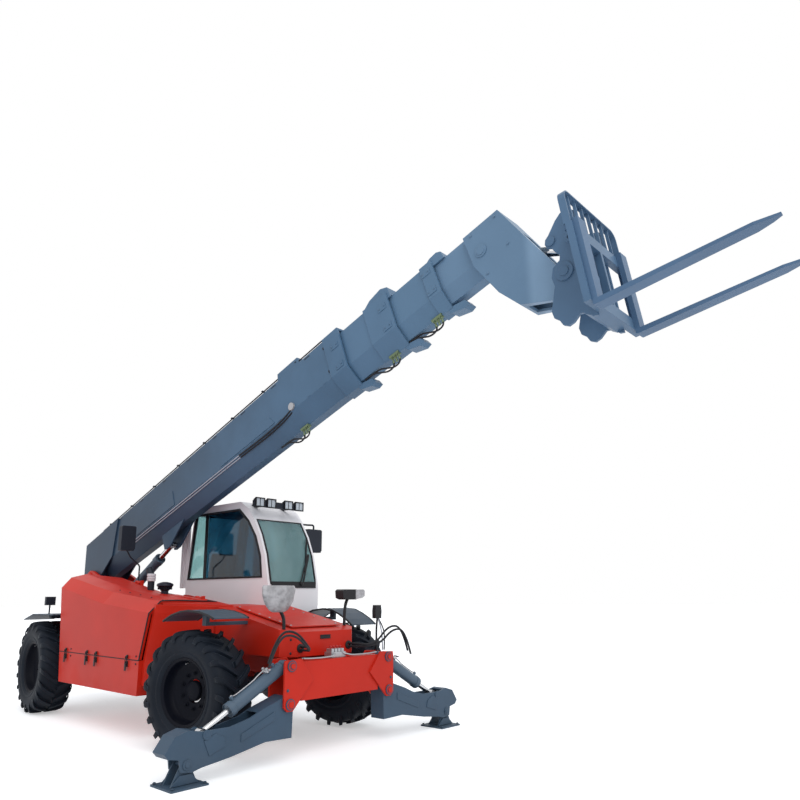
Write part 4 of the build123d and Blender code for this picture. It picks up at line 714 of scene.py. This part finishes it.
# ------------------------------------------------------------------ front body
# A folded and welded red box over the front frame. A slot for the hoses is framed in black
# rubber; the cover on top is screwed down round its edge.
black = finish("black_plastic", (0.012, 0.012, 0.015), 0.45, edge_wear_and_highlight=(0.05, 0.05, 0.055), dust=0.2, ripple=0.2, fine=500)
dress(black, "battery_box", "side_tanks", "access_steps", "dashboard")
slot_frame = bmesh.new()
for y in (-330, 330):
    turned(slot_frame, [(16, 0), (44, 0), (44, 9), (36, 14), (16, 14)], at(780, y, 983), (1, 0, 0), 28, ring=True)
box(slot_frame, (780, 788), (-70, 70), (1062, 1072))
box(slot_frame, (780, 788), (-70, 70), (1092, 1102))
box(slot_frame, (780, 784), (-70, 70), (1072, 1092))
finished("nose_slot", slot_frame, black, "chassis")
hatch = bmesh.new()
plate(hatch, [(640, 1178), (640, 1190), (-330, 1382), (-330, 1366)], -330, 330, from_side)
softened(hatch, 3)
finished("nose_hatch", hatch, red, "chassis")
hatch_bolts = bmesh.new()
for y in (-308, 308):
    repeated(hatch_bolts, bolt((0.19, 0, 0.98), 9, 7), row_tree, zinc, Count=6, Start=at(600, y, 1197),
             Step=Vector((-0.178, 0, 0.0352)))
finished("hatch_bolts", hatch_bolts, zinc, "chassis")
nose_bolts = bmesh.new()
for y in (-455, 455):
    repeated(nose_bolts, bolt((1, 0, 0), 10, 8), row_tree, dark, Count=2, Start=at(780, y, 940),
             Step=Vector((0, 0, 0.13)))
finished("nose_bolts", nose_bolts, dark, "chassis")


# ------------------------------------------------------------------ engine hood
# A pressed lid over the engine on the right side, hinged along the boom. A rubber seal closes
# its front edge on the bulkhead, and two over-centre latches pull it down along its seam.
dress(dark, "engine_block")


def lid_height(x, front, rear):
    """Height of one of the lid's long lines at a station, from its heights at the two ends."""
    return front + (rear - front) * (-740 - x) / 1125


edge_path = [(-931, -1121, 824), (-782, -1121, 1318), (-766, -1119, 1326), (-763, -1004, 1441), (-763, -985, 1447),
             (-763, -800, 1450), (-763, -330, 1434)]
pipe("lid_seal", [at(*spot) for spot in edge_path], 7, hose_rubber, "hood_lid", smooth=False)
pipe("lid_ridge_seal", [at(x, -300, lid_height(x, 1424, 1524) + 3) for x in (-770, -1100, -1865)], 6, hose_rubber,
     "hood_lid", smooth=False)
seam = bmesh.new()
box(seam, (-2951, -932), (-1123, -1112), (814, 822))
finished("hood_seam", seam, hose_rubber, "chassis")
catches = bmesh.new()
hooks = bmesh.new()
for x in (-1180, -1920, -2160, -2740):
    plate(catches, [(x - 24, 742), (x + 24, 742), (x + 20, 800), (x - 20, 800)], -1134, -1120, from_side)
    plate(hooks, [(x - 18, 834), (x + 18, 834), (x + 14, 866), (x - 14, 866)], -1132, -1120, from_side)
    turned(hooks, [(13, -5), (19, -5), (19, 5), (13, 5)], at(x, -1136, 838), (0, 1, 0), 22, ring=True)
    bar(catches, at(x - 17, -1138, 770), at(x - 15, -1138, 832), 4, 10)
    bar(catches, at(x + 17, -1138, 770), at(x + 15, -1138, 832), 4, 10)
    plate(catches, [(x - 13, 700), (x + 13, 700), (x + 15, 776), (x - 15, 776)], -1146, -1138, from_side)
softened(catches, 2)
finished("latch_levers", catches, black, "chassis")
finished("latch_hooks", hooks, black, "hood_lid")
lid_trim = bmesh.new()
plate(lid_trim, [(-1560, lid_height(-1560, 1426, 1526)), (-1560, lid_height(-1560, 1426, 1526) + 16),
                 (-900, lid_height(-900, 1426, 1526) + 16), (-880,
                                                             lid_height(-880, 1426, 1526))], -470, -345, from_side)
softened(lid_trim, 4)
finished("lid_panel", lid_trim, red, "hood_lid")
lid_bolts = bmesh.new()
for x, y, front, rear in ((-830, -360, 1428, 1528), (-830, -940, 1441, 1568)):
    repeated(lid_bolts, bolt((0.09, 0, 1), 8, 6), row_tree, dark, Count=5,
             Start=at(x, y, lid_height(x, front, rear) - 1), Step=Vector((-0.25, 0, 0.25 * (rear - front) / 1125)))
for z, count in ((860, 2), (780, 2)):
    repeated(lid_bolts, bolt((0, -1, 0), 8, 6), row_tree, dark, Count=count, Start=at(-990, -1121, z),
             Step=Vector((-1.62, 0, 0)))
finished("lid_bolts", lid_bolts, dark, "hood_lid")
louvres = bmesh.new()
slat = bmesh.new()
plate(slat, [(0, 0), (-14, 4), (-14, 10), (0, 22)], -1000, -480, lambda a, b, c: Vector((a / 1000, c / 1000, b / 1000)))
repeated(louvres, slat, row_tree, dark, Count=14, Start=at(-2981, 0, 1035), Step=Vector((-0.00575, 0, 0.044)))
finished("rear_louvres", louvres, dark, "hood_lid")

# the pre-cleaner's flat cap on a finned drum, and the exhaust's bent tail beside it
cleaner_black = finish("cleaner_black", (0.008, 0.009, 0.022), 0.36, edge_wear_and_highlight=(0.05, 0.05, 0.07), dust=0.12, ripple=0.1)
cap = bmesh.new()
top_low, top_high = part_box("pre_cleaner")
cap_foot = Vector(((top_low[0] + top_high[0]) / 2, (top_low[1] + top_high[1]) / 2, top_low[2]))
turned(cap, [(0, 0), (44, 0), (44, 46), (58, 56), (62, 96), (94, 100), (99, 106), (99, 124), (92, 134), (60, 147),
             (28, 155), (0, 156)], cap_foot, (0, 0, 1), 48)
fin = bmesh.new()
box(fin, (56, 86), (-2, 2), (62, 101), lambda a, b, c: Vector((a / 1000, b / 1000, c / 1000)))
repeated(cap, fin, ring_tree, cleaner_black, Count=24, Centre=cap_foot, Axis=Vector((0, 0, 1)))
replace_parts(finished("cleaner_cap", cap, cleaner_black, "hood_lid"), "pre_cleaner")
pipe("exhaust_tail", [at(-2050, -430, 1545), at(-2050, -430, 1640), at(-2050, -430, 1760), at(-2120, -430, 1835)], 42,
     dark, "hood_lid")
wrap = bmesh.new()
turned(wrap, [(43, 0), (52, 2), (54, 20), (48, 26), (55, 34), (54, 52), (47, 58), (55, 66), (52, 92), (43, 96)],
       at(-2050, -430, 1680), (0, 0, 1), 32, ring=True)
pale_wrap = finish("pale_wrap", (0.66, 0.64, 0.68), 0.7, ripple=0.6, fine=70, depth=0.008)
finished("exhaust_wrap", wrap, pale_wrap, "hood_lid")


# ------------------------------------------------------------------ boom
# Four welded box sections, each sliding in the one before it on wear pads, all in one slate enamel
# with painted light: painted shade at the base's tail grows paler section by section to a painted highlight at the
# head; pipes, clips, pad covers and doubler plates are bolted on.
lift_joint = next(joint for joint in frame["joints"] if joint["name"] == "boom_lift")
slide_joint = next(joint for joint in frame["joints"] if joint["parent"] == "boom_base")
BOOM_FOOT = Vector(lift_joint["pos_m"])
ALONG = Vector(slide_joint["axis"]).normalized()
ACROSS = Vector((-ALONG.z, 0, ALONG.x))


def on_boom(s, y, n):
    """A place given in millimetres along the boom, to its left and up across it."""
    return BOOM_FOOT + ALONG * (s / 1000) + ACROSS * (n / 1000) + Vector((0, y / 1000, 0))


def boom_side(s, n, y):
    return on_boom(s, y, n)


# painted light: one slate paint in darker and lighter copies, painted shade at the base's tail ramping to a painted
# highlight at the head's tip
base_slate_painted_light = finish("boom_slate", (0.020, 0.046, 0.085), 0.36, tone=0.2, edge_wear_and_highlight=(0.30, 0.36, 0.43), dust=0.05,
                    along=((0.080, 0.160, 0.265), -4.6, 0.9))
second_slate_painted_light = finish("boom_slate_second", (0.095, 0.180, 0.290), 0.36, tone=0.1, edge_wear_and_highlight=(0.45, 0.5, 0.55), dust=0.05)
third_slate_painted_light = finish("boom_slate_third", (0.108, 0.200, 0.315), 0.36, tone=0.12, edge_wear_and_highlight=(0.45, 0.5, 0.55), dust=0.05)
head_slate_painted_highlight = finish("boom_slate_head", (0.140, 0.240, 0.365), 0.36, tone=0.1, edge_wear_and_highlight=(0.5, 0.55, 0.6), dust=0.05,
                    along=((0.215, 0.335, 0.480), 2.92, 3.02))
line_pale = finish("pipe_pale", (0.42, 0.45, 0.52), 0.4, edge_wear_and_highlight=(0.6, 0.6, 0.6), ripple=0.1)
for section, material in (("base", base_slate_painted_light), ("second", second_slate_painted_light), ("third", third_slate_painted_light),
                          ("fourth", head_slate_painted_highlight)):
    dress(material, f"boom_{section}")
for hand, side in hands:
    edges = bmesh.new()
    for outline in ([(-20, 520), (-20, 200), (560, 160), (760, 545)],
                    [(1180, 130), (2350, 130), (2350, 330), (1180, 330)],
                    [(3450, 128), (4560, 128), (4480, 250), (3560, 250)]):
        plate(edges, outline, side * 205, side * 211, boom_side)
    softened(edges, 2)
    for s in range(300, 5700, 270):
        box(edges, (s, s + 46), (112, 119), (side * 204, side * 208), boom_side)
    finished(f"base_doublers_{hand}", edges, base_slate_painted_light, "boom_base")
    slots = bmesh.new()
    for s in range(900, 5300, 620):
        box(slots, (s, s + 90), (556, 566), (side * 204.5, side * 206.5), boom_side)
    finished(f"base_slots_{hand}", slots, black, "boom_base")
    pins = bmesh.new()
    turned(pins, [(0, 0), (86, 0), (86, 6), (58, 8), (56, 14), (0, 15)], on_boom(0, side * 225, 0), (0, side, 0), 32)
    bolts_at = ((60, 440), (60, 300), (420, 430), (420, 300), (640, 470), (5560, 500), (5560, 200), (5700, 500),
                (5700, 200))
    for s, n in bolts_at:
        bolted(pins, on_boom(s, side * (211 if s < 700 else 205), n), dark, (0, side, 0), 13, 11)
    box(pins, (180, 190), (110, 560), (side * 205, side * 213), boom_side)
    finished(f"base_bolts_{hand}", pins, dark, "boom_base")
    for number, n in ((1, 604), (2, 622)):
        if side > 0 and number == 2:
            continue
        pipe(f"top_pipe_{hand}_{number}", [on_boom(s, side * (172 + 9 * number), n - 6) for s in (380, 900, 3000,
                                                                                                  5300, 5640)],
             8, line_pale if number == 1 else dark, "boom_base", smooth=False)
    clips = bmesh.new()
    for s in range(600, 5600, 640):
        plate(clips, [(s, 585), (s + 26, 585), (s + 26, 628), (s, 628)], side * 166, side * 172, boom_side)
        box(clips, (s, s + 26), (622, 632), (side * 166, side * 204), boom_side)
    finished(f"pipe_clips_{hand}", clips, dark, "boom_base")
    for number, n in ((1, 92), (2, 70)):
        y = side * (205 - (110 - n) * 0.79 + 11)
        pipe(f"side_line_{hand}_{number}", [on_boom(s, y, n) for s in (960, 1400, 2600, 3760)] +
             [on_boom(3840, y, n - 4)], 7, line_pale, "boom_base")
        pipe(f"side_hose_{hand}_{number}", [on_boom(3830, y, n - 4), on_boom(4100, y, n - 12), on_boom(4420, y, n - 16),
                                            on_boom(4700, y + side * 3, n - 4), on_boom(4860, y + side * 6, n + 30)], 9,
             hose_rubber, "boom_base")
    reel = bmesh.new()
    turned(reel, [(0, 0), (44, 0), (44, 5), (34, 8), (34, 16), (44, 19), (44, 24), (20, 27), (0, 27)],
           on_boom(4890, side * 204, 150), (0, side, 0), 30)
    finished(f"hose_guide_{hand}", reel, zinc, "boom_base")
    for section, half, low_n, mouth, tone in (("base", 205, 110, 5820, base_slate_painted_light),
                                              ("second", 178, 125, 6530, second_slate_painted_light),
                                             ("third", 151, 140, 7120, third_slate_painted_light)):
        pads = bmesh.new()
        for n in (low_n + 60, 420):
            box(pads, (mouth - 150, mouth - 40), (n - 34, n + 34), (side * (half + 13), side * (half + 19)), boom_side)
            for ds in (-130, -60):
                bolted(pads, on_boom(mouth + ds, side * (half + 18), n), dark, (0, side, 0), 9, 7)
        finished(f"pad_covers_{section}_{hand}", pads, tone, f"boom_{section}")
    head = bmesh.new()
    turned(head, [(0, 0), (62, 0), (62, 7), (44, 9), (42, 15), (0, 16)], on_boom(7640, side * 172, 190), (0, side, 0),
           30)
    for s, n in ((7600, 400), (7880, 400), (7620, -60), (7900, 60)):
        bolted(head, on_boom(s, side * 172, n), dark, (0, side, 0), 11, 9)
    finished(f"head_pins_{hand}", head, head_slate_painted_highlight, "boom_fourth")
brass = finish("fitting_green", (0.16, 0.22, 0.12), 0.35, metallic=0.5, shine=0.5, dust=0.1)
for section, s0, n0 in (("base", 4880, -82), ("second", 6330, -52), ("third", 6930, -22)):
    fittings = bmesh.new()
    for ds in (-42, 0, 42):
        turned(fittings, [(0, 0), (15, 0), (15, 34), (9, 38), (9, 62), (14, 66), (14, 84), (0, 86)],
               on_boom(s0 + ds, -60, n0 + 4),
               -ACROSS, 12)
    plate(fittings, [(s0 - 66, n0 + 6), (s0 + 66, n0 + 6), (s0 + 60, n0 - 20), (s0 - 60, n0 - 20)], -88, -34, boom_side)
    finished(f"hose_fittings_{section}", fittings, brass, f"boom_{section}")
    for number, ds in enumerate((-42, 42)):
        pipe(f"hose_bight_{section}_{number}", [on_boom(s0 + ds, -60, n0 - 78), on_boom(s0 + ds - 4, -60, n0 - 112),
                                                on_boom(s0 + ds - 90, -62, n0 - 124), on_boom(s0 + ds - 190, -58,
                                                                                              n0 - 70),
                                                on_boom(s0 + ds - 290, -50, n0 - 14), on_boom(s0 + ds - 420, -46,
                                                                                              n0 - 12)],
             9, hose_rubber, f"boom_{section}")
for number, y in enumerate((-60, -20, 20, 60)):
    pipe(f"boom_hose_{number}", [on_boom(s, y, n) for s, n in ((5700, 600), (5830, 616), (5960, 596), (6040, 566))], 10,
         hose_rubber, "boom_base")


# ------------------------------------------------------------------ lift and tilt rams
# Drawn steel barrels with welded ports, a screwed gland at the mouth, and a pipe along each.
# The barrels are slate blue like the stabilisers', the rods hard chromed.
for barrel, rod, radius in (("lift_barrel", "lift_rod", 74), ("tilt_barrel", "tilt_rod", 58)):
    mount = next(joint for joint in frame["joints"] if joint["child"] == barrel)
    foot = Vector(mount["pos_m"])
    way = Vector(next(joint for joint in frame["joints"] if joint["child"] == rod)["axis"]).normalized()
    over = Vector((0, 1, 0)).cross(way).normalized()
    if over.z < 0:
        over = -over
    reach = max((Vector(corner) - foot).dot(way) for corner in nodes[barrel].bound_box) * 1000
    ram = bmesh.new()
    for along, lift, width in ((140, 0, 24), (reach - 95, 2, 52)):
        turned(ram, [(radius - 14, 0), (radius + lift - 2, 0), (radius + lift - 2, width), (radius - 14, width)],
               foot + way * (along / 1000), way, 36, ring=True)
    for along in (190, reach - 150):
        turned(ram, [(0, 0), (18, 0), (18, 20), (11, 24), (0, 24)],
               foot + way * (along / 1000) + over * ((radius - 12) / 1000),
               over, 16)
    finished(f"{barrel}_fittings", ram, barrel_blue, barrel)
    height = (radius + 4) / 1000
    pipe(f"{barrel}_pipe", [foot + way * (along / 1000) + over * height for along in (190, 260, reach / 2, reach - 200,
                                                                                   reach - 150)],
         7, line_pale, barrel)


# ------------------------------------------------------------------ carriage and forks
# A welded guard and frame that tilts on the boom's head, with two forged forks hung on its
# upper rail. Slate enamel in a darker copy than the boom's head, a painted shade; the forks are worn to bright steel
# along their edges.
# painted shade: the forks and carriage are the boom's slate paint in a darker copy
fork_enamel_painted_shade = finish("fork_enamel", (0.085, 0.160, 0.275), 0.38, edge_wear_and_highlight=(0.45, 0.52, 0.60), edge_wear_and_highlight_share=0.25, radius=0.003,
                    dust=0.0, ripple=0.0)
carriage_slate_painted_shade = finish("carriage_enamel", (0.092, 0.172, 0.285), 0.36, tone=0.16, edge_wear_and_highlight=(0.42, 0.5, 0.58),
                        radius=0.003, dust=0.03)
dress(carriage_slate_painted_shade, "carriage")
dress(fork_enamel_painted_shade, "forks")
TILT = next(joint for joint in frame["joints"] if joint["name"] == "fork_tilt")
tilt_pin = Vector(TILT["pos_m"])
caps = bmesh.new()
for side in (-1, 1):
    turned(caps, [(0, 0), (60, 0), (60, 7), (40, 9), (38, 16), (0, 17)], tilt_pin + Vector((0, side * 0.247, 0)),
           (0, side, 0), 32)
    for turn in (0.6, 2.7):
        spot = tilt_pin + Vector((0.048 * math.cos(turn), side * 0.254, 0.048 * math.sin(turn)))
        bolted(caps, spot, dark, (0, side, 0), 8, 7)
finished("tilt_pin_caps", caps, carriage_slate_painted_shade, "carriage")


# ------------------------------------------------------------------ cab
# Pressed and welded frame, white enamel, with bonded safety glass all round. Black rubber seals
# the panes; a wide black band hides the wiper's drive at the foot of the windscreen.
white = finish("cab_enamel", (0.87, 0.85, 0.88), 0.34, tone=0.05, edge_wear_and_highlight=(0.55, 0.53, 0.52), edge_wear_and_highlight_share=0.25, coat=0.15,
               dust=0.05, ledges=0.2, low=0.6)
dress(white, "cab_frame", "cab_roof", "cab_door")


def glazing(name, tint, deep, clear, rear=None):
    """Safety glass, streaked between a deep and a light tint; rear is a third tint behind the cab's rear post, painted
    light where bright light shows through the cab.
    """
    material = bpy.data.materials.new(name)
    material.use_nodes = True
    tree = material.node_tree
    shader = tree.nodes["Principled BSDF"]
    streaks = stepped(tree, noise(tree, 1.6, 4.0, 0.6, (1, 1, 0.35)), 0.35, 0.7)
    colour = blended(tree, streaks, (*deep, 1), (*tint, 1))
    if rear:
        axes = tree.nodes.new("ShaderNodeSeparateXYZ")
        tree.links.new(place_on_piece(tree), axes.inputs[0])
        colour = blended(tree, stepped(tree, axes.outputs["X"], at(-2020, 0, 0).x, at(-1960, 0, 0).x), (*rear, 1),
                         colour)
    tree.links.new(colour, shader.inputs["Base Color"])
    shader.inputs["Transmission Weight"].default_value = clear
    rough = arithmetic(tree, "MULTIPLY_ADD", noise(tree, 14.0, 5.0), 0.06, 0.02)
    tree.links.new(rough, shader.inputs["Roughness"])
    shader.inputs["IOR"].default_value = 1.45
    return material


# the pale third tint behind the rear post is painted light, the bright light seen through the cab there
side_glass = glazing("side_glass", (0.030, 0.130, 0.220), (0.010, 0.060, 0.120), 0.88,
                     (0.55, 0.78, 0.78))
front_glass = glazing("front_glass", (0.50, 0.72, 0.73), (0.38, 0.60, 0.62), 0.6)
dress(side_glass, "door_glass")
dress(side_glass, "cab_glass")
right_pane = [(-2395, 1720), (-2252, 2595), (-1250, 2595), (-1045, 2433), (-880, 2222), (-775, 1981), (-735, 1725)]
door_pane = [(-2225, 1760), (-2135, 2530), (-1255, 2530), (-830, 1760)]


def closed_seal(name, spots, radius, body):
    """A rubber seal in a closed loop round an opening."""
    pipe(name, spots, radius, hose_rubber, body, smooth=False, closed=True)


closed_seal("seal_right", [at(x, 305, z) for x, z in right_pane], 17, "chassis")
closed_seal("seal_door", [at(x, 1100, z) for x, z in door_pane], 11, "cab_door")
dividers = bmesh.new()
box(dividers, (-2020, -1962), (298, 309), (1712, 2600))
finished("window_divider", dividers, black, "chassis")
guard = bmesh.new()
box(guard, (-2640, -2450), (334, 346), (1600, 2560))
for z in (1760, 2380):
    box(guard, (-2470, -2440), (322, 334), (z, z + 60))
rib = bmesh.new()
box(rib, (0, 20), (-10, 0), (0, 940), lambda a, b, c: Vector((a / 1000, b / 1000, c / 1000)))
repeated(guard, rib, row_tree, white, Count=4, Start=at(-2635, 334, 1610), Step=Vector((0.048, 0, 0)))
finished("cab_rear_guard", guard, white, "chassis")
roof = bmesh.new()
for y in (420, 560, 700, 840, 980):
    plate(roof, [(-2180, 2700), (-2160, 2707), (-1380, 2707), (-1360, 2700)], y - 22, y + 22, from_side)
softened(roof, 2)
finished("roof_swages", roof, white, "chassis")


# ------------------------------------------------------------------ windscreen and wiper
# The windscreen follows the pillars' curve. A pantograph wiper parks at its left-hand edge.
screen = bmesh.new()
screen_line = [(-598, 1640), (-606, 1700), (-680, 2000), (-793, 2250), (-922, 2446)]
rows = []
for x, z in screen_line:
    rows.append([screen.verts.new(at(x - 10, y, z)) for y in range(352, 1065, 89)])
for a, b in zip(rows, rows[1:]):
    for i in range(len(a) - 1):
        screen.faces.new((a[i], a[i + 1], b[i + 1], b[i]))
bmesh.ops.solidify(screen, geom=screen.faces[:], thickness=0.004)
finished("windscreen_face", screen, front_glass, "chassis")
closed_seal("seal_windscreen", [at(x - 10, 349, z) for x, z in screen_line] +
            [at(x - 10, 1066, z) for x, z in reversed(screen_line)], 13, "chassis")
band = bmesh.new()
plate(band, [(-598, 1590), (-590, 1590), (-592, 1668), (-600, 1668)], 352, 1064, from_side)
softened(band, 2)
finished("windscreen_band", band, black, "chassis")
wiper = bmesh.new()
for dy in (0, 46):
    bar(wiper, at(-584, 800 + dy, 1640), at(-672, 990 + dy * 0.3, 2020), 9, 10)
turned(wiper, [(0, 0), (26, 0), (26, 16), (16, 24), (0, 24)], at(-592, 820, 1640), (1, 0, 0), 24)
bar(wiper, at(-614, 900, 1790), at(-760, 1035, 2235), 11, 10)
bar(wiper, at(-606, 900, 1792), at(-752, 1035, 2237), 5, 8)
finished("wiper", wiper, black, "chassis")


# ------------------------------------------------------------------ cab inside
# A sprung seat with a stitched cloth cushion and back, and a moulded dashboard.
# The cushions are foam under grey cloth, with sewn grooves.
cloth = finish("seat_cloth", (0.030, 0.034, 0.045), 0.85, edge_wear_and_highlight_share=0.1, ripple=0.6, fine=900, dust=0.05)
dress(black, "steering_wheel")


def cushion(name, corner, wide, long, thick, tip):
    """A crowned cushion: a grid puffed up between its sewn edges, tipped back about its front."""
    maker = bmesh.new()
    bmesh.ops.create_grid(maker, x_segments=20, y_segments=20, size=0.5)
    bottom = bmesh.ops.duplicate(maker, geom=maker.verts[:] + maker.faces[:])["geom"]
    under = {element for element in bottom if isinstance(element, bmesh.types.BMVert)}
    turn = Matrix.Rotation(math.radians(tip), 3, "Y")
    for vertex in maker.verts:
        u, v = vertex.co.x * 2, vertex.co.y * 2
        crown = (max(0, 1 - u ** 4) * max(0, 1 - v ** 4)) ** 0.42
        groove = 0.12 * math.exp(-((abs(v) - 0.5) / 0.045) ** 2) + 0.10 * math.exp(-(u / 0.04) ** 2)
        puff = crown * (1 - groove) * thick / 2000
        pull = 1 - 0.03 * (1 - crown)
        flat_spot = Vector((u * long / 2000 * pull, v * wide / 2000 * pull, -puff * 0.8 if vertex in under else puff))
        vertex.co = corner + turn @ flat_spot
    bmesh.ops.remove_doubles(maker, verts=maker.verts[:], dist=0.0006)
    piece = finished(name, maker, cloth, "chassis", 80)


cushion("seat_cushion", at(-1865, 710, 1530), 440, 500, 150, 0)
cushion("seat_back", at(-2180, 710, 1835), 430, 500, 130, -80)
seat_foot = bmesh.new()
plate(seat_foot, [(-2090, 1218), (-1680, 1218), (-1720, 1300), (-1760, 1340), (-1700, 1460), (-2090, 1460),
                  (-2030, 1340),
                  (-2060, 1300)], 560, 860, from_side)
box(seat_foot, (-2150, -1620), (500, 920), (1455, 1472))
softened(seat_foot, 5)
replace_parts(finished("seat_stand", seat_foot, black, "chassis"), "seat")
panel = bmesh.new()
for y in (560, 640, 760, 840):
    turned(panel, [(0, 0), (26, 0), (28, 6), (22, 9), (0, 9)], at(-1050, y, 1700), (-0.6, 0, 0.8), 24)
finished("dials", panel, zinc, "chassis")
lever = bmesh.new()
bar(lever, at(-1560, 430, 1420), at(-1520, 430, 1640), 9, 12)
turned(lever, [(0, 0), (14, 0), (24, 18), (26, 40), (18, 62), (0, 70)], at(-1521, 430, 1630), (0.2, 0, 1), 20)
finished("control_lever", lever, black, "chassis")


# ------------------------------------------------------------------ light bar
# Four square working lamps in a dark bar across the roof's front edge.
dress(dark, "light_bar")
lens = finish("lamp_lens", (0.56, 0.62, 0.68), 0.2, edge_wear_and_highlight_share=0.1, ripple=0.9, fine=240, dust=0.05, shine=0.5)
frames, panes = bmesh.new(), bmesh.new()
for y in (345, 525, 805, 985):
    plate(frames, [(-926, 2640), (-882, 2610), (-882, 2724), (-926, 2704)], y - 66, y + 66, from_side)
    for z in (2606, 2714):
        box(frames, (-882, -860), (y - 70, y + 70), (z, z + 12))
    for edge in (y - 70, y + 60):
        box(frames, (-882, -860), (edge, edge + 10), (2618, 2714))
    box(frames, (-882, -866), (y - 3, y + 3), (2618, 2714))
    box(panes, (-882, -870), (y - 60, y - 4), (2619, 2713))
    box(panes, (-882, -870), (y + 4, y + 60), (2619, 2713))
finished("roof_lamp_frames", frames, black, "chassis")
finished("roof_lamp_lenses", panes, lens, "chassis")


# ------------------------------------------------------------------ mirrors
# Moulded shells on thin bent tubes, silvered on the side that the driver sees.
dress(dark, "mirrors")
silver_glass = finish("mirror_glass", (0.75, 0.78, 0.80), 0.05, metallic=1.0, edge_wear_and_highlight_share=0.0, dust=0.08, ripple=0.0)
shells, mirror_faces = bmesh.new(), bmesh.new()
for y, z, x, half, tall in ((1275, 2224, -914, 130, 156), (-465, 2260, -2700, 100, 166)):
    outline = [(y - half, z - tall), (y + half * 0.8, z - tall), (y + half, z - tall * 0.8), (y + half, z + tall * 0.9),
               (y + half * 0.86, z + tall), (y - half * 0.86, z + tall), (y - half, z + tall * 0.9)]
    plate(shells, outline, x - 40, x + 42, from_front)
    plate(mirror_faces, [(y - half * 0.86, z - tall * 0.88), (y + half * 0.86, z - tall * 0.88),
                         (y + half * 0.86, z + tall * 0.88), (y - half * 0.86,
                                                              z + tall * 0.88)], x - 43, x - 39, from_front)
softened(shells, 26, 4)
finished("mirror_shells", shells, dark, "chassis", 60)
finished("mirror_faces", mirror_faces, silver_glass, "chassis")


# a small wide-angle mirror on a stem shows the driver the left stabiliser
pipe("corner_mirror_stem", [at(900, 640, 880), at(900, 640, 1000), at(890, 650, 1180), at(900, 655, 1260)], 11, black,
     "chassis")
corner_shell = bmesh.new()
plate(corner_shell, [(606, 1250), (694, 1250), (700, 1330), (690, 1392), (612, 1392), (602, 1330)], 870, 922,
      from_front)
softened(corner_shell, 16, 3)
finished("corner_mirror_shell", corner_shell, black, "chassis", 60)
pipe("corner_line_pale", [at(905, 655, 1260), at(925, 690, 1150), at(930, 705, 1020), at(935, 700, 915)], 7, line_pale,
     "chassis")
pipe("corner_line_black", [at(905, 655, 1262), at(935, 720, 1150), at(942, 728, 1020), at(945, 715, 915)], 7,
     hose_rubber,
     "chassis")


# ------------------------------------------------------------------ lamps
# Travelling lamps on curved stalks from the front body, each under a protective clear wrap,
# and red lamps at the rear.
wrap_film = finish("lamp_wrap", (0.46, 0.45, 0.47), 0.3, tone=0.45, slow=9.0, ripple=1.0, fine=13, depth=0.03,
                   edge_wear_and_highlight_share=0.0,
                   dust=0.05, shine=0.5)
dress(dark, "rear_lamps")
bowl = bmesh.new()
bowl_at = at(655, -520, 0)
turned(bowl, [(0, 1335), (70, 1335), (112, 1352), (150, 1392), (182, 1440), (200, 1500), (208, 1556), (204, 1584),
              (192, 1598),
              (178, 1590), (0, 1584)], bowl_at, (0, 0, 1), 48)
for vertex in bowl.verts:
    vertex.co.x = bowl_at.x + (vertex.co.x - bowl_at.x) * 0.31
    crease = math.sin(vertex.co.z * 70 + 5 * math.atan2(vertex.co.x - bowl_at.x, vertex.co.y - bowl_at.y))
    vertex.co.y = bowl_at.y + (vertex.co.y - bowl_at.y) * (0.985 + 0.015 * crease)
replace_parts(finished("lamp_bowl", bowl, wrap_film, "chassis", 60), "front_lamps")
shell, cover = bmesh.new(), bmesh.new()
plate(shell, [(360, 1470), (410, 1452), (560, 1452), (560, 1563), (375, 1563), (352, 1545)], 542, 668, from_front)
softened(shell, 14, 3)
plate(cover, [(548, 1456), (652, 1470), (688, 1490), (689, 1548), (668, 1562), (548, 1560)], 546, 669, from_front)
softened(cover, 18, 3)
finished("lamp_shell_left", shell, black, "chassis", 50)
finished("lamp_cover_left", cover, wrap_film, "chassis", 50)
for hand, x, y, low in (("right", 650, -440, 1164), ("left", 600, 440, 1172)):
    top = 1350 if y < 0 else 1470
    pipe(f"lamp_stalk_{hand}", [at(x, y, low), at(x, y, low + 60), at(x, y * 1.02, top - 60), at(x, y * 1.12, top)],
         17, black,
         "chassis")
rear_red = finish("rear_lens", (0.35, 0.01, 0.01), 0.2, ripple=0.8, fine=200, edge_wear_and_highlight_share=0.1)
rear_faces = bmesh.new()
for y in (-1090, 1090):
    box(rear_faces, (-3480, -3474), (y - 50, y + 50), (1390, 1480))
softened(rear_faces, 2)
finished("rear_lenses", rear_faces, rear_red, "chassis")


# ------------------------------------------------------------------ fenders
# Rolled steel leaves over the wheels, hung on angled brackets, with a rubber lip.
fender_slate = finish("fender_enamel", (0.045, 0.068, 0.098), 0.42, edge_wear_and_highlight=(0.3, 0.34, 0.38), dust=0.12, ledges=0.4)
dress(fender_slate, "fenders")
TYRE_TOP = 1170
for hand, side, leaf in (("right", -1, [(-330, 72), (-180, 132), (-20, 168), (130, 180), (320, 168), (470, 140),
                                        (560, 112)]),
                         ("left", 1, [(-570, 50), (-480, 95), (-350, 140), (-165, 160), (0, 148), (120, 105), (250, 42),
                                      (340, -18)])):
    for edge, y in (("outer", 1203), ("inner", 810)):
        pipe(f"fender_lip_{hand}_{edge}", [at(x, side * y, TYRE_TOP + z + 6) for x, z in leaf], 11, hose_rubber,
             "chassis",
             smooth=False)
    ties = bmesh.new()
    for x in (-60, 60) if side < 0 else (-200, -130):
        for y in (880, 960):
            bolted(ties, at(x, side * y, TYRE_TOP + (184 if side < 0 else 168)), dark, (0, 0, 1), 9, 6)
    finished(f"fender_bolts_{hand}", ties, dark, "chassis")
